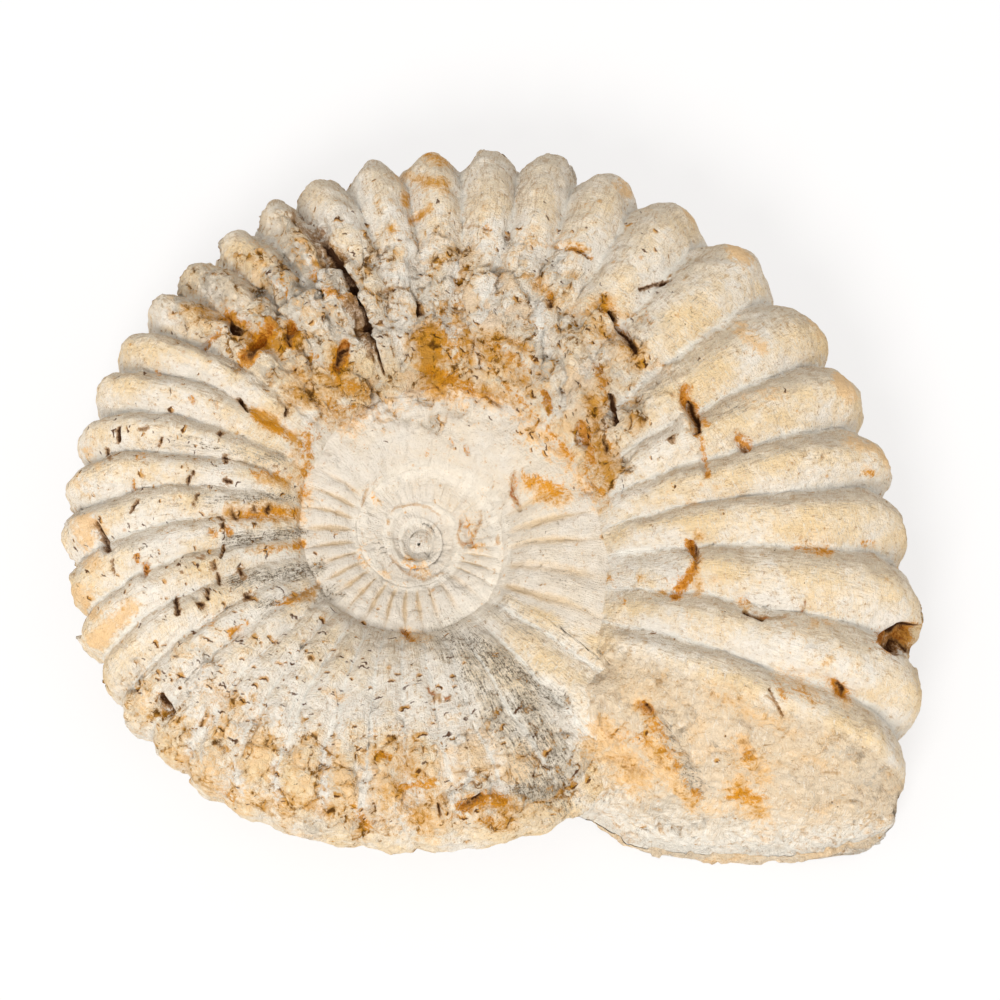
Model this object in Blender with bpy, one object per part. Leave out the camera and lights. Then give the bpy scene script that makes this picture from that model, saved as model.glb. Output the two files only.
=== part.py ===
"""A large ribbed ammonite, lying on its side. One solid: the coiled shell and the stone that fills its mouth.

The shell is a loft along a flat spiral. Each turn is a ring of sections, and a section's inner edge lies
on the flank of the turn before it, so neighbouring turns share their seam. The last turn shows its whole
section. Its mouth is broken, and the stone in it slopes down to the surface that the fossil lies on.
"""

import math

import bmesh
import bpy
import numpy as np
from mathutils import Matrix, Vector, noise

NAME = "ammonite"

# Sizes are in metres. Angles are in degrees about the coil's axis: they count clockwise from +X seen from
# above, grow towards the mouth, and are negative in the turns before it. A table holds (angle, value) knots
# of a smooth curve.
AXIS_AT = (-0.0174, -0.0133)
SEAM_RADIUS = (
    (-1080, 0.0044), (-900, 0.0070), (-720, 0.0102), (-630, 0.0124), (-540, 0.0144), (-450, 0.0172),
    (-360, 0.0204), (-315, 0.0238), (-270, 0.0256), (-180, 0.0286), (-90, 0.0362), (0, 0.0444),
    (20, 0.0480), (39, 0.0538),
)
OUTER_RADIUS = (
    (-1080, 0.0151), (-720, 0.0304), (-540, 0.0430), (-360, 0.0650), (-330, 0.0735), (-300, 0.0785),
    (-270, 0.0768), (-225, 0.0818), (-180, 0.0868), (-125, 0.0945), (-90, 0.1030), (-45, 0.1108),
    (-20, 0.1150), (0, 0.1197), (15, 0.1268), (32, 0.1335),
)
THICKNESS = (
    (-1080, 0.0074), (-720, 0.0149), (-540, 0.0211), (-360, 0.0300), (-270, 0.0395), (-180, 0.0445),
    (-90, 0.0505), (0, 0.0575), (32, 0.0590),
)
# The coil's mid-plane leans, because the shell thickens towards the mouth and both ends of it touch down.
MID_HEIGHT = 0.0219
MID_RISE = (0.030, 0.036)

# A section is a superellipse. "Across" runs over it: 0 at the upper seam, 1 at the outer rim and 2 at the
# lower seam. The next turn covers it from NEXT_TURN_ACROSS on.
SECTION_POWER = 2.2
SECTION_INNER_REACH = 0.89
NEXT_TURN_ACROSS = 0.6
LAST_COVERED_FRACTION = 0.65
COVERED_LIMIT = 0.8

# Ribs of the last turn, by the angle of each crest on the outer rim. A rib crosses the rim straight, between
# RIB_STRAIGHT and as far beyond it, and leans on the flanks, so that its inner end runs RIB_LEAN ahead.
RIB_TIPS = (
    -326.75, -314.5, -303, -292.5, -283, -274, -265, -256, -247, -238, -230, -221.5, -213, -205, -196.5,
    -187.5, -178.2, -169.8, -161.5, -153, -144.8, -137, -129, -121, -113.2, -105.4, -97.1, -88.5, -79.8,
    -71.5, -62.6, -52.8, -41, -28.5, -18.5, -8.8, -0.8, 9.2, 19.5, 28,
)
RIB_LEAN = 7.0
RIB_STRAIGHT = 0.8
RIB_ROUNDNESS = 0.55
RIB_DEPTH = (
    (-1080, 0.0002), (-720, 0.0007), (-630, 0.0013), (-540, 0.0015), (-400, 0.0015), (-330, 0.0016),
    (-250, 0.0021), (-215, 0.0032), (-180, 0.0045), (-90, 0.0058), (0, 0.0062), (32, 0.0056),
)
RIB_DEPTH_ACROSS = (
    (0.0, 0.10), (0.15, 0.40), (0.3, 0.62), (0.6, 0.85), (0.8, 1.0), (1.0, 0.85), (1.2, 0.9), (1.45, 0.45),
    (2.0, 0.25),
)

# The turns inside the last one have finer, flatter ribs: (place, ribs) pairs say how many lie before a place.
INNER_DEPTH_ACROSS = ((0.0, 0.15), (0.12, 0.9), (0.35, 1.0), (0.6, 0.35))
INNER_RIBS = ((-156, -149), (-78, -71), (-39, -32), (0, 0))
INNER_ROUNDNESS = 0.34
COLUMNS_PER_RIB = 4

# The share of the ribs' depth that is worn off: on the last turn's inner flank, out to WORN_REACH across, on
# its rim and underside, from WORN_RIM_FROM across on, and on the turns inside it.
WORN_FLANK = ((-240, 0.0), (-215, 0.35), (-160, 0.45), (-130, 0.8), (-65, 0.8), (-40, 0.0))
WORN_REACH = 0.55
WORN_RIM = ((-330, 0.55), (-240, 0.5), (-205, 0.0))
WORN_RIM_FROM = 0.7
WORN_RIM_FADE = 0.25
WORN_INNER = ((-520, 0.0), (-495, 0.85), (-395, 0.85), (-365, 0.0))

# Sections have these rows, and each turn has one column in so many, from the innermost turn outwards.
INNER_ROWS = (0.0, 0.15, 0.3, 0.45)
OUTER_ROWS = (0.6, 0.7, 0.8, 0.9, 1.0, 1.1, 1.2, 1.3, 1.4)
UNDER_ROWS = (1.7, 2.0)
TURN_STEPS = (4, 2, 1, 1)

# The broken mouth: its front edge on the ground from the earlier turn round to the outer rim, as
# (across, x, y) from the coil's axis, and how many rows down the earlier turn's side each column begins.
FRONT_EDGE = (
    (0.0, 0.0385, -0.0640), (0.15, 0.0455, -0.0665), (0.3, 0.0560, -0.0718), (0.45, 0.0690, -0.0735),
    (0.6, 0.0835, -0.0736), (0.7, 0.0945, -0.0738), (0.8, 0.1030, -0.0728), (0.9, 0.1098, -0.0708),
    (1.0, 0.1142, -0.0678),
)
MOUTH_SEAM_ROWS = (0, 0, 0, 0, 1, 1, 2, 2, 4, 8)
FRONT_LIP = 0.0045
FRONT_RIM_HEIGHT = 0.0100
FRONT_RISES_ACROSS = 0.5
FRONT_FALL_POWER = 1.5
SEAM_BLEND = 0.25
MOUTH_SEAM_BLEND = 0.7

# Wear: lumps all over, as (size, height), with a shift that makes the noise differ for x, y and z. Then the
# height of the coil's middle above its mid-plane.
LUMPS = ((0.018, 0.0008), (0.008, 0.0005))
LUMP_SHIFTS = ((0, 0, 0), (31.4, 0, 0), (0, 47.9, 0))
CENTRE_HEIGHT = 0.0030

# Cracks, holes and chips: each is a lens-shaped hollow, as (end, end, width, depth) from the coil's axis.
HOLES = {
    "crack": ((-0.0220, 0.0690, 0.0440), (-0.0072, 0.0375, 0.0375), 0.0036, 0.0070),
    "rim_hole": ((0.1110, -0.0275, 0.0350), (0.1195, -0.0290, 0.0300), 0.0080, 0.0045),
    "long_hollow": ((0.0650, 0.0290, 0.0505), (0.0665, 0.0165, 0.0515), 0.0044, 0.0028),
    "corner_hollow": ((0.0760, 0.0172, 0.0492), (0.0808, 0.0125, 0.0478), 0.0036, 0.0018),
    "dark_hollow": ((0.0485, 0.0450, 0.0512), (0.0530, 0.0375, 0.0512), 0.0030, 0.0026),
    "rusty_hollow": ((-0.0225, 0.0455, 0.0430), (-0.0160, 0.0405, 0.0428), 0.0042, 0.0020),
    "chip": ((0.0475, -0.0172, 0.0440), (0.0675, -0.0152, 0.0512), 0.0120, 0.0024),
    "ledge": ((0.0075, -0.0712, 0.0262), (0.0205, -0.0665, 0.0300), 0.0056, 0.0040),
    "gouge": ((-0.0800, 0.0020, 0.0325), (-0.0755, -0.0038, 0.0320), 0.0026, 0.0018),
}
STONE_COLOUR = (0.80, 0.72, 0.58, 1.0)

ROWS = INNER_ROWS + OUTER_ROWS + UNDER_ROWS
UPPER_SEAM_ROW = ROWS.index(NEXT_TURN_ACROSS)
LOWER_SEAM_ROW = ROWS.index(2 - NEXT_TURN_ACROSS)
LAST_ROW = len(ROWS) - 1
RIBS_PER_TURN = len(RIB_TIPS) - 1
COLUMNS = RIBS_PER_TURN * COLUMNS_PER_RIB
TURN_ANGLE = 360 - RIB_LEAN * NEXT_TURN_ACROSS / RIB_STRAIGHT
LAST_COLUMN = len(TURN_STEPS) * COLUMNS
MOUTH_COLUMNS = len(MOUTH_SEAM_ROWS)


def curve(table, place):
    """The value at a place on the smooth curve through a table's knots."""
    knots = np.array(table, float)
    slopes = np.gradient(knots[:, 1], knots[:, 0])
    place = np.clip(place, knots[0, 0], knots[-1, 0])
    k = np.clip(np.searchsorted(knots[:, 0], place, side="right") - 1, 0, len(knots) - 2)
    width = knots[k + 1, 0] - knots[k, 0]
    s = (place - knots[k, 0]) / width
    rise = (2 * s**3 - 3 * s**2 + 1) * knots[k, 1] + (3 * s**2 - 2 * s**3) * knots[k + 1, 1]
    return rise + width * ((s**3 - 2 * s**2 + s) * slopes[k] + (s**3 - s**2) * slopes[k + 1])


def tip_angle(ribs):
    """The angle on the outer rim of a place along the spiral, counted in ribs from the last turn's start."""
    turns = np.minimum(np.floor(ribs / RIBS_PER_TURN), 0)
    last_turn = np.interp(ribs - turns * RIBS_PER_TURN, np.arange(len(RIB_TIPS)), RIB_TIPS)
    return last_turn + turns * TURN_ANGLE


def power(value, exponent):
    return np.sign(value) * np.abs(value) ** exponent


def shell_points(ribs, across):
    """Points of the ribbed shell, from the coil's axis."""
    tip = tip_angle(ribs)
    from_rim = np.abs(1 - across)
    angle = tip + RIB_LEAN * np.clip((from_rim - 1 + RIB_STRAIGHT) / RIB_STRAIGHT, 0, 1)
    inner = curve(SEAM_RADIUS, angle)
    outer = curve(OUTER_RADIUS, angle)
    half_height = (outer - inner) / (1 + SECTION_INNER_REACH)
    middle = outer - half_height
    half_thickness = curve(THICKNESS, angle) / 2

    # The section's own angle: the seams and the rim are given, and the rest is even between them.
    covered = np.where(
        angle + 360 <= SEAM_RADIUS[-1][0],
        curve(SEAM_RADIUS, angle + 360),
        inner + LAST_COVERED_FRACTION * (outer - inner),
    )
    reach = np.clip((covered - middle) / half_height, -COVERED_LIMIT, COVERED_LIMIT)
    at_covered = np.arccos(power(reach, SECTION_POWER / 2))
    at_seam = math.acos(-(SECTION_INNER_REACH ** (SECTION_POWER / 2)))
    beyond = np.clip((from_rim - 1 + NEXT_TURN_ACROSS) / NEXT_TURN_ACROSS, 0, 1)
    within = np.clip(from_rim / (1 - NEXT_TURN_ACROSS), 0, 1)
    turn = at_covered * within + (at_seam - at_covered) * beyond
    turn = turn * np.where(across > 1, -1, 1)

    x = power(np.cos(turn), 2 / SECTION_POWER)
    z = power(np.sin(turn), 2 / SECTION_POWER)
    out_x = power(x, SECTION_POWER - 1) / half_height
    out_z = power(z, SECTION_POWER - 1) / half_thickness
    length = np.hypot(out_x, out_z)
    phase = np.where(ribs < 0, np.interp(ribs, *zip(*INNER_RIBS)), ribs)
    roundness = np.where(ribs < 0, INNER_ROUNDNESS, RIB_ROUNDNESS)
    crest = (0.5 + 0.5 * np.cos(2 * math.pi * phase)) ** roundness
    worn = np.interp(tip, *zip(*WORN_FLANK)) * np.clip(1 - (across / WORN_REACH) ** 2, 0, 1)
    worn_rim = np.interp(tip, *zip(*WORN_RIM)) * np.clip((across - WORN_RIM_FROM) / WORN_RIM_FADE, 0, 1)
    inner_kept = curve(INNER_DEPTH_ACROSS, np.minimum(across, 2 - across))
    inner_kept = inner_kept * (1 - np.interp(tip, *zip(*WORN_INNER)))
    kept = np.where(ribs < 0, inner_kept, (1 - worn) * (1 - worn_rim))
    groove = curve(RIB_DEPTH, tip) * curve(RIB_DEPTH_ACROSS, across) * kept * (1 - crest)
    radius = middle + half_height * x - groove * out_x / length
    height = half_thickness * z - groove * out_z / length
    east = radius * np.cos(np.radians(angle))
    north = -radius * np.sin(np.radians(angle))
    return np.stack([east, north, MID_HEIGHT + MID_RISE[0] * east + MID_RISE[1] * north + height], -1)


def joined(points, upper, lower, upper_blend=SEAM_BLEND):
    """The points of columns, moved so that their ends lie on the seams and the rest follows smoothly."""
    across = np.array(ROWS)
    near_upper = np.clip(1 - across / upper_blend, 0, 1) ** 2
    near_lower = np.clip(1 - (2 - across) / SEAM_BLEND, 0, 1) ** 2
    to_upper = (upper - points[:, 0])[:, None]
    to_lower = (lower - points[:, -1])[:, None]
    return points + near_upper[:, None] * to_upper + near_lower[:, None] * to_lower


def coil_points():
    """Every column's points, from the innermost turn to the last rib."""
    columns = np.arange(LAST_COLUMN + 1)
    ribs = (columns - (len(TURN_STEPS) - 1) * COLUMNS) / COLUMNS_PER_RIB
    points = shell_points(ribs[:, None], np.array(ROWS)[None])
    for start in range(COLUMNS, LAST_COLUMN + 1, COLUMNS):
        turn = slice(start, start + COLUMNS)
        before = points[start - COLUMNS : start][: len(points[turn])]
        points[turn] = joined(points[turn], before[:, UPPER_SEAM_ROW], before[:, LOWER_SEAM_ROW])
    return points


def mouth_points(coil):
    """The columns of the stone in the mouth, from the last rib down to the front edge."""
    across = np.array(ROWS)
    edge = np.array(FRONT_EDGE)
    along = np.minimum(across, 2 - across)
    front = np.stack([curve(edge[:, [0, 1]], along), curve(edge[:, [0, 2]], along)], -1)
    risen = np.clip((along - FRONT_RISES_ACROSS) / (1 - FRONT_RISES_ACROSS), 0, 1)
    front_height = FRONT_LIP + (FRONT_RIM_HEIGHT - FRONT_LIP) * risen
    front_height = np.where(across > 1, 0, front_height)
    last = coil[LAST_COLUMN]
    part = np.arange(1, MOUTH_COLUMNS + 1)[:, None] / MOUTH_COLUMNS
    points = np.empty((MOUTH_COLUMNS, len(ROWS), 3))
    points[..., :2] = last[:, :2] + (front - last[:, :2]) * part[..., None]
    fall = np.where(across > 1, part, part**FRONT_FALL_POWER)
    points[..., 2] = last[:, 2] + (front_height - last[:, 2]) * fall
    before = LAST_COLUMN - COLUMNS + np.arange(1, MOUTH_COLUMNS + 1)
    upper = coil[before, UPPER_SEAM_ROW + np.array(MOUTH_SEAM_ROWS)]
    # The last column's end is under the earlier turn, and the front edge doesn't follow it there.
    upper[-1] = points[-1, 0]
    return joined(points, upper, coil[before, LOWER_SEAM_ROW], MOUTH_SEAM_BLEND)


def weathered(point):
    """A point of the surface after wear: lumps, and a flat underside where it rests."""
    moved = Vector(point)
    for size, height in LUMPS:
        lump = [noise.noise(Vector(point) / size + Vector(shift)) for shift in LUMP_SHIFTS]
        moved += height * Vector(lump)
    return moved.x + AXIS_AT[0], moved.y + AXIS_AT[1], max(moved.z, 0.0)


def stitched(first, second):
    """Triangles between two rows of (place, vertex), which start and end level with each other."""
    faces = []
    i = j = 0
    while i < len(first) - 1 or j < len(second) - 1:
        step_first = j == len(second) - 1 or (i < len(first) - 1 and first[i + 1][0] <= second[j + 1][0])
        corner = first[i + 1][1] if step_first else second[j + 1][1]
        faces.append((first[i][1], corner, second[j][1]))
        i, j = (i + 1, j) if step_first else (i, j + 1)
    return faces


class Shell:
    """Collects the vertices and faces of the loft."""

    def __init__(self):
        self.vertices = []
        self.faces = []
        self.index = {}

    def vertex(self, column, row, point):
        self.index[column, row] = len(self.vertices)
        self.vertices.append(weathered(point))

    def share(self, column, row, other_column, other_row):
        self.index[column, row] = self.index[other_column, other_row]

    def quad(self, column, row, step=1):
        i = self.index
        after = column + step
        self.faces.append((i[column, row], i[after, row], i[after, row + 1], i[column, row + 1]))

    def strip_to_finer_row(self, column, row, finer_row, step, finer_step):
        """Fills between one row's edge and a neighbouring row that has more columns."""
        coarse = [(c, self.index[c, row]) for c in (column, column + step)]
        finer = [(c, self.index[c, finer_row]) for c in range(column, column + step + 1, finer_step)]
        faces = stitched(coarse, finer)
        self.faces += faces if finer_row > row else [face[::-1] for face in faces]


def add_vertices(shell, coil, mouth):
    for column in range(LAST_COLUMN + 1):
        turn = min(column // COLUMNS, len(TURN_STEPS) - 1)
        next_step = TURN_STEPS[min(turn + 1, len(TURN_STEPS) - 1)]
        for row in range(len(ROWS)):
            on_seam = row in (UPPER_SEAM_ROW, LOWER_SEAM_ROW)
            bare = column >= LAST_COLUMN - COLUMNS
            hidden = UPPER_SEAM_ROW < row < LOWER_SEAM_ROW and not bare
            step = next_step if on_seam else TURN_STEPS[turn]
            if hidden or column % step:
                continue
            if column >= COLUMNS and row == 0:
                shell.share(column, row, column - COLUMNS, UPPER_SEAM_ROW)
            elif column >= COLUMNS and row == LAST_ROW:
                shell.share(column, row, column - COLUMNS, LOWER_SEAM_ROW)
            else:
                shell.vertex(column, row, coil[column, row])
    for step, rows_down in enumerate(MOUTH_SEAM_ROWS):
        column = LAST_COLUMN + 1 + step
        shell.share(column, 0, column - COLUMNS, UPPER_SEAM_ROW + rows_down)
        shell.share(column, LAST_ROW, column - COLUMNS, LOWER_SEAM_ROW)
        for row in range(1, LAST_ROW):
            shell.vertex(column, row, mouth[step, row])


def add_inner_turns(shell):
    for turn, step in enumerate(TURN_STEPS[:-1]):
        finer = TURN_STEPS[turn + 1]
        for column in range(turn * COLUMNS, (turn + 1) * COLUMNS, step):
            for row in range(UPPER_SEAM_ROW - 1):
                shell.quad(column, row, step)
            for row in range(LOWER_SEAM_ROW + 1, LAST_ROW):
                shell.quad(column, row, step)
            shell.strip_to_finer_row(column, UPPER_SEAM_ROW - 1, UPPER_SEAM_ROW, step, finer)
            shell.strip_to_finer_row(column, LOWER_SEAM_ROW + 1, LOWER_SEAM_ROW, step, finer)


def add_last_turn(shell):
    start = LAST_COLUMN - COLUMNS
    i = shell.index
    for column in range(start, LAST_COLUMN + MOUTH_COLUMNS):
        covered = min(column - start, MOUTH_COLUMNS)
        bare_row, next_bare_row = (
            UPPER_SEAM_ROW + ((0,) + MOUTH_SEAM_ROWS)[min(k, MOUTH_COLUMNS)] for k in (covered, covered + 1)
        )
        for row in range(LAST_ROW):
            if row < bare_row or row >= LOWER_SEAM_ROW:
                shell.quad(column, row)
        for row in range(bare_row, next_bare_row):
            shell.faces.append((i[column, bare_row], i[column + 1, row], i[column + 1, row + 1]))


def add_front_lip(shell):
    column = LAST_COLUMN + MOUTH_COLUMNS
    rim = ROWS.index(1.0)
    upper = [(ROWS[row], shell.index[column, row]) for row in range(rim + 1)]
    lower = [(2 - ROWS[row], shell.index[column, row]) for row in range(LAST_ROW, rim - 1, -1)]
    shell.faces += [face for face in stitched(lower, upper) if len(set(face)) == 3]


def add_centre(shell):
    """Closes the innermost turn with a low cone on each side."""
    step = TURN_STEPS[0]
    for seam_row, last_row, side in ((UPPER_SEAM_ROW, 0, 1), (LOWER_SEAM_ROW, LAST_ROW, -1)):
        inwards = range(seam_row, last_row, -side)
        ring = [shell.index[column, last_row] for column in range(0, COLUMNS, step)]
        ring += [shell.index[0, row] for row in inwards]
        centre = len(shell.vertices)
        height = CENTRE_HEIGHT * side
        shell.vertices.append(weathered((0, 0, MID_HEIGHT + height)))
        for here, after in zip(ring, ring[1:] + ring[:1]):
            shell.faces.append((centre, after, here)[::side])


def stone_material():
    material = bpy.data.materials.new("limestone")
    material.use_nodes = True
    shader = material.node_tree.nodes["Principled BSDF"]
    shader.inputs["Base Color"].default_value = STONE_COLOUR
    shader.inputs["Roughness"].default_value = 0.85
    shader.inputs["Metallic"].default_value = 0.0
    return material


def cut_hole(ammonite, collection, name, start, end, width, depth):
    """Cuts a lens-shaped hollow that runs from one end to the other."""
    axis = Vector((*AXIS_AT, 0))
    along = Vector(end) - Vector(start)
    mesh = bpy.data.meshes.new(name)
    lens = bmesh.new()
    bmesh.ops.create_icosphere(lens, subdivisions=2, radius=1)
    bmesh.ops.scale(lens, vec=(along.length / 2, width / 2, depth), verts=lens.verts)
    turned = along.to_track_quat("X", "Z").to_matrix().to_4x4()
    place = Matrix.Translation(axis + (Vector(start) + Vector(end)) / 2)
    bmesh.ops.transform(lens, matrix=place @ turned, verts=lens.verts)
    lens.to_mesh(mesh)
    lens.free()
    cutter = bpy.data.objects.new(name, mesh)
    cutter.hide_render = True
    cutter.display_type = "WIRE"
    collection.objects.link(cutter)
    cut = ammonite.modifiers.new(name, "BOOLEAN")
    cut.operation = "DIFFERENCE"
    cut.object = cutter


def build_ammonite(collection):
    coil = coil_points()
    shell = Shell()
    add_vertices(shell, coil, mouth_points(coil))
    add_centre(shell)
    add_inner_turns(shell)
    add_last_turn(shell)
    add_front_lip(shell)

    mesh = bpy.data.meshes.new(NAME)
    mesh.from_pydata(shell.vertices, [], shell.faces)
    mesh.shade_smooth()
    mesh.materials.append(stone_material())
    ammonite = bpy.data.objects.new(NAME, mesh)
    collection.objects.link(ammonite)
    for name, hole in HOLES.items():
        cut_hole(ammonite, collection, name, *hole)


def main():
    for old in list(bpy.data.objects):
        bpy.data.objects.remove(old)
    collection = bpy.data.collections.new(NAME)
    bpy.context.scene.collection.children.link(collection)
    build_ammonite(collection)


main()
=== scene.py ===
"""Dresses the ammonite fossil: a finely lofted shell and mouth stone with its cracks, holes, rust stains and
dirt, partly painted shade, on a plain pale floor in soft studio light. Lengths are in metres unless a name
says otherwise."""

import math

import bpy
import numpy as np
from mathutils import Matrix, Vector
from mathutils.noise import noise as smooth_noise


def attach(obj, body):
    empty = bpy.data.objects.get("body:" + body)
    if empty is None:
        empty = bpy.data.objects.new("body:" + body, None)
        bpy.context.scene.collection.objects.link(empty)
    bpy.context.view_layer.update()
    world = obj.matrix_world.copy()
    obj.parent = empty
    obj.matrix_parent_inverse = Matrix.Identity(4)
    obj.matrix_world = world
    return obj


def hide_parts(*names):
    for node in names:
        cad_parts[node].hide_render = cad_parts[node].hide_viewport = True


MM = 1000.0

# The camera looks down at the fossil from the front. The target is measured from the coil's axis.
AXIS_AT = (-0.0174, -0.0133)
TARGET = (0.0200, 0.0106, 0.0262)
CAMERA_ELEVATION = 68.0
CAMERA_DISTANCE = 1.150
CAMERA_CLIP_START = 0.01
SENSOR = 36.0
FOCAL_PIXELS = 4680.5
PICTURE_PIXELS = 1000.0

# The studio: a pale floor that glows a little, a bright surround and one soft lamp in front.
FLOOR_HALF = 3.0
FLOOR_COLOUR = (0.22, 0.218, 0.216)
FLOOR_ROUGHNESS = 0.9
FLOOR_GLOW_COLOUR = (1.0, 0.99, 0.985, 1.0)
FLOOR_GLOW = 0.71
SURROUND_COLOUR = (1.0, 0.99, 0.98, 1.0)
SURROUND_STRENGTH = 0.86
LAMP_AT = (-0.7, -2.5, 2.7)
LAMP_AIM = (0, 0, 0.02)
LAMP_SIZE = 1.3
LAMP_WATTS = 100

# The shell's form. Angles are in degrees about the coil's axis, clockwise from +X seen from above, and grow
# towards the mouth. A place across is 0 at the upper seam, 1 on the rim and 2 at the lower seam. A table
# holds knots of a curve.
SEAM_RADIUS = (
    (-1080, 0.0044), (-900, 0.0070), (-720, 0.0102), (-630, 0.0124), (-540, 0.0144), (-450, 0.0172),
    (-360, 0.0204), (-315, 0.0238), (-270, 0.0256), (-180, 0.0286), (-90, 0.0362), (0, 0.0444),
    (20, 0.0480), (39, 0.0538),
)
OUTER_RADIUS = (
    (-1080, 0.0151), (-720, 0.0304), (-540, 0.0430), (-360, 0.0650), (-330, 0.0735), (-300, 0.0785),
    (-270, 0.0768), (-225, 0.0818), (-180, 0.0868), (-125, 0.0945), (-90, 0.1030), (-45, 0.1108),
    (-20, 0.1150), (0, 0.1197), (15, 0.1268), (32, 0.1335),
)
THICKNESS = (
    (-1080, 0.0074), (-720, 0.0149), (-540, 0.0211), (-360, 0.0300), (-270, 0.0395), (-180, 0.0445),
    (-90, 0.0505), (0, 0.0575), (32, 0.0590),
)
MID_HEIGHT = 0.0219
MID_RISE = (0.030, 0.036)
SECTION_POWER = 2.2
SECTION_INNER_REACH = 0.89
NEXT_TURN_ACROSS = 0.6
LAST_COVERED_FRACTION = 0.65
COVERED_LIMIT = 0.8
SEAM_BLEND = 0.25
RIB_TIPS = (
    -326.75, -314.5, -303, -292.5, -283, -274, -265, -256, -247, -238, -230, -221.5, -213, -205, -196.5,
    -187.5, -178.2, -169.8, -161.5, -153, -144.8, -137, -129, -121, -113.2, -105.4, -97.1, -88.5, -79.8,
    -71.5, -62.6, -52.8, -41, -28.5, -18.5, -8.8, -0.8, 9.2, 19.5, 28,
)
RIB_LEAN = 7.0
RIB_STRAIGHT = 0.8
RIB_ROUNDNESS = 0.55
RIB_DEPTH = (
    (-1080, 0.0002), (-720, 0.0007), (-630, 0.0013), (-540, 0.0015), (-400, 0.0015), (-330, 0.0016),
    (-250, 0.0021), (-215, 0.0032), (-180, 0.0045), (-90, 0.0058), (0, 0.0062), (32, 0.0056),
)
RIB_DEPTH_ACROSS = (
    (0.0, 0.10), (0.15, 0.40), (0.3, 0.62), (0.6, 0.85), (0.8, 1.0), (1.0, 0.85), (1.2, 0.9), (1.45, 0.45),
    (2.0, 0.25),
)
INNER_DEPTH_ACROSS = ((0.0, 0.15), (0.12, 0.9), (0.35, 1.0), (0.6, 0.35))
INNER_RIBS = ((-156, -149), (-78, -71), (-39, -32), (0, 0))
INNER_ROUNDNESS = 0.34
WORN_FLANK = ((-240, 0.0), (-215, 0.35), (-160, 0.45), (-130, 0.8), (-65, 0.8), (-40, 0.0))
WORN_REACH = 0.55
WORN_RIM = ((-330, 0.55), (-240, 0.5), (-205, 0.0))
WORN_RIM_FROM = 0.7
WORN_RIM_FADE = 0.25
FULL_DEPTH = 0.0014
WORN_INNER = ((-520, 0.0), (-495, 0.85), (-395, 0.85), (-365, 0.0))
LUMPS = ((0.018, 0.0008), (0.008, 0.0005))
LUMP_SHIFTS = ((0, 0, 0), (31.4, 0, 0), (0, 47.9, 0))

# Stone fills the seams of the inner turns: its height by the place, counted in ribs, at which the outer one
# of the two turns lies, and how far across each turn it reaches.
SEAM_FILL = (
    (-156, 0.0003), (-117, 0.0005), (-78, 0.0008), (-39, 0.0010), (-20, 0.0009), (-6, 0.0005), (4, 0.0),
)
SEAM_FILL_OUTWARDS = 0.13
SEAM_FILL_INWARDS = 0.16

# The turns inside the last one repeat it, with one more, which shrinks faster, at the centre.
RIBS_PER_TURN = len(RIB_TIPS) - 1
TURN_ANGLE = 360 - RIB_LEAN * NEXT_TURN_ACROSS / RIB_STRAIGHT
INNER_TURNS = 3
CENTRE_SHRINK = 0.43

# The broken mouth's stone: its front edge on the ground as (across, x, y), and the line where it meets the
# earlier turn as (share of the way from the last rib to the front, ribs into that turn, across). How far
# across the blend with that turn reaches is given for shares of the same way.
FRONT_EDGE = (
    (0.0, 0.0385, -0.0640), (0.15, 0.0455, -0.0665), (0.3, 0.0560, -0.0718), (0.45, 0.0690, -0.0735),
    (0.6, 0.0835, -0.0736), (0.7, 0.0945, -0.0738), (0.8, 0.1030, -0.0728), (0.9, 0.1098, -0.0708),
    (1.0, 0.1142, -0.0678),
)
MOUTH_SEAM = (
    (0.0, 0.0, 0.6), (0.4, 1.0, 0.6), (0.6, 1.5, 0.7), (0.8, 2.0, 0.8), (0.9, 2.25, 0.95), (1.0, 2.5, 1.4),
)
MOUTH_SEAM_BLEND = ((0.75, 0.7), (1.0, 0.12))
FRONT_LIP = 0.0045
FRONT_RIM_HEIGHT = 0.0100
FRONT_RISES_ACROSS = 0.5
FRONT_FALL_POWER = 1.5

# Smooth noise: how much finer and how far off each octave is, and the gain that brings the sum to about 1.
OCTAVE_RATIO = 2.03
OCTAVE_SHIFT = 17.3
NOISE_GAIN = 1.4


def curve(table, place):
    """The value at a place on the smooth curve through a table's knots."""
    knots = np.array(table, float)
    slopes = np.gradient(knots[:, 1], knots[:, 0])
    place = np.clip(place, knots[0, 0], knots[-1, 0])
    k = np.clip(np.searchsorted(knots[:, 0], place, side="right") - 1, 0, len(knots) - 2)
    width = knots[k + 1, 0] - knots[k, 0]
    s = (place - knots[k, 0]) / width
    rise = (2 * s**3 - 3 * s**2 + 1) * knots[k, 1] + (3 * s**2 - 2 * s**3) * knots[k + 1, 1]
    return rise + width * ((s**3 - 2 * s**2 + s) * slopes[k] + (s**3 - s**2) * slopes[k + 1])


def smooth(low, high, value):
    s = np.clip((value - low) / (high - low), 0, 1)
    return s * s * (3 - 2 * s)


def lattice(x, y, z, seed):
    """A repeatable random value from -1 to 1 for each whole-number place."""
    n = (x * 374761393 + y * 668265263 + z * 1440662683 + seed * 974634777) & 0xFFFFFFFF
    n = ((n ^ (n >> 13)) * 1274126177) & 0xFFFFFFFF
    return ((n ^ (n >> 16)) & 0xFFFF) / 32767.5 - 1


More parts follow.
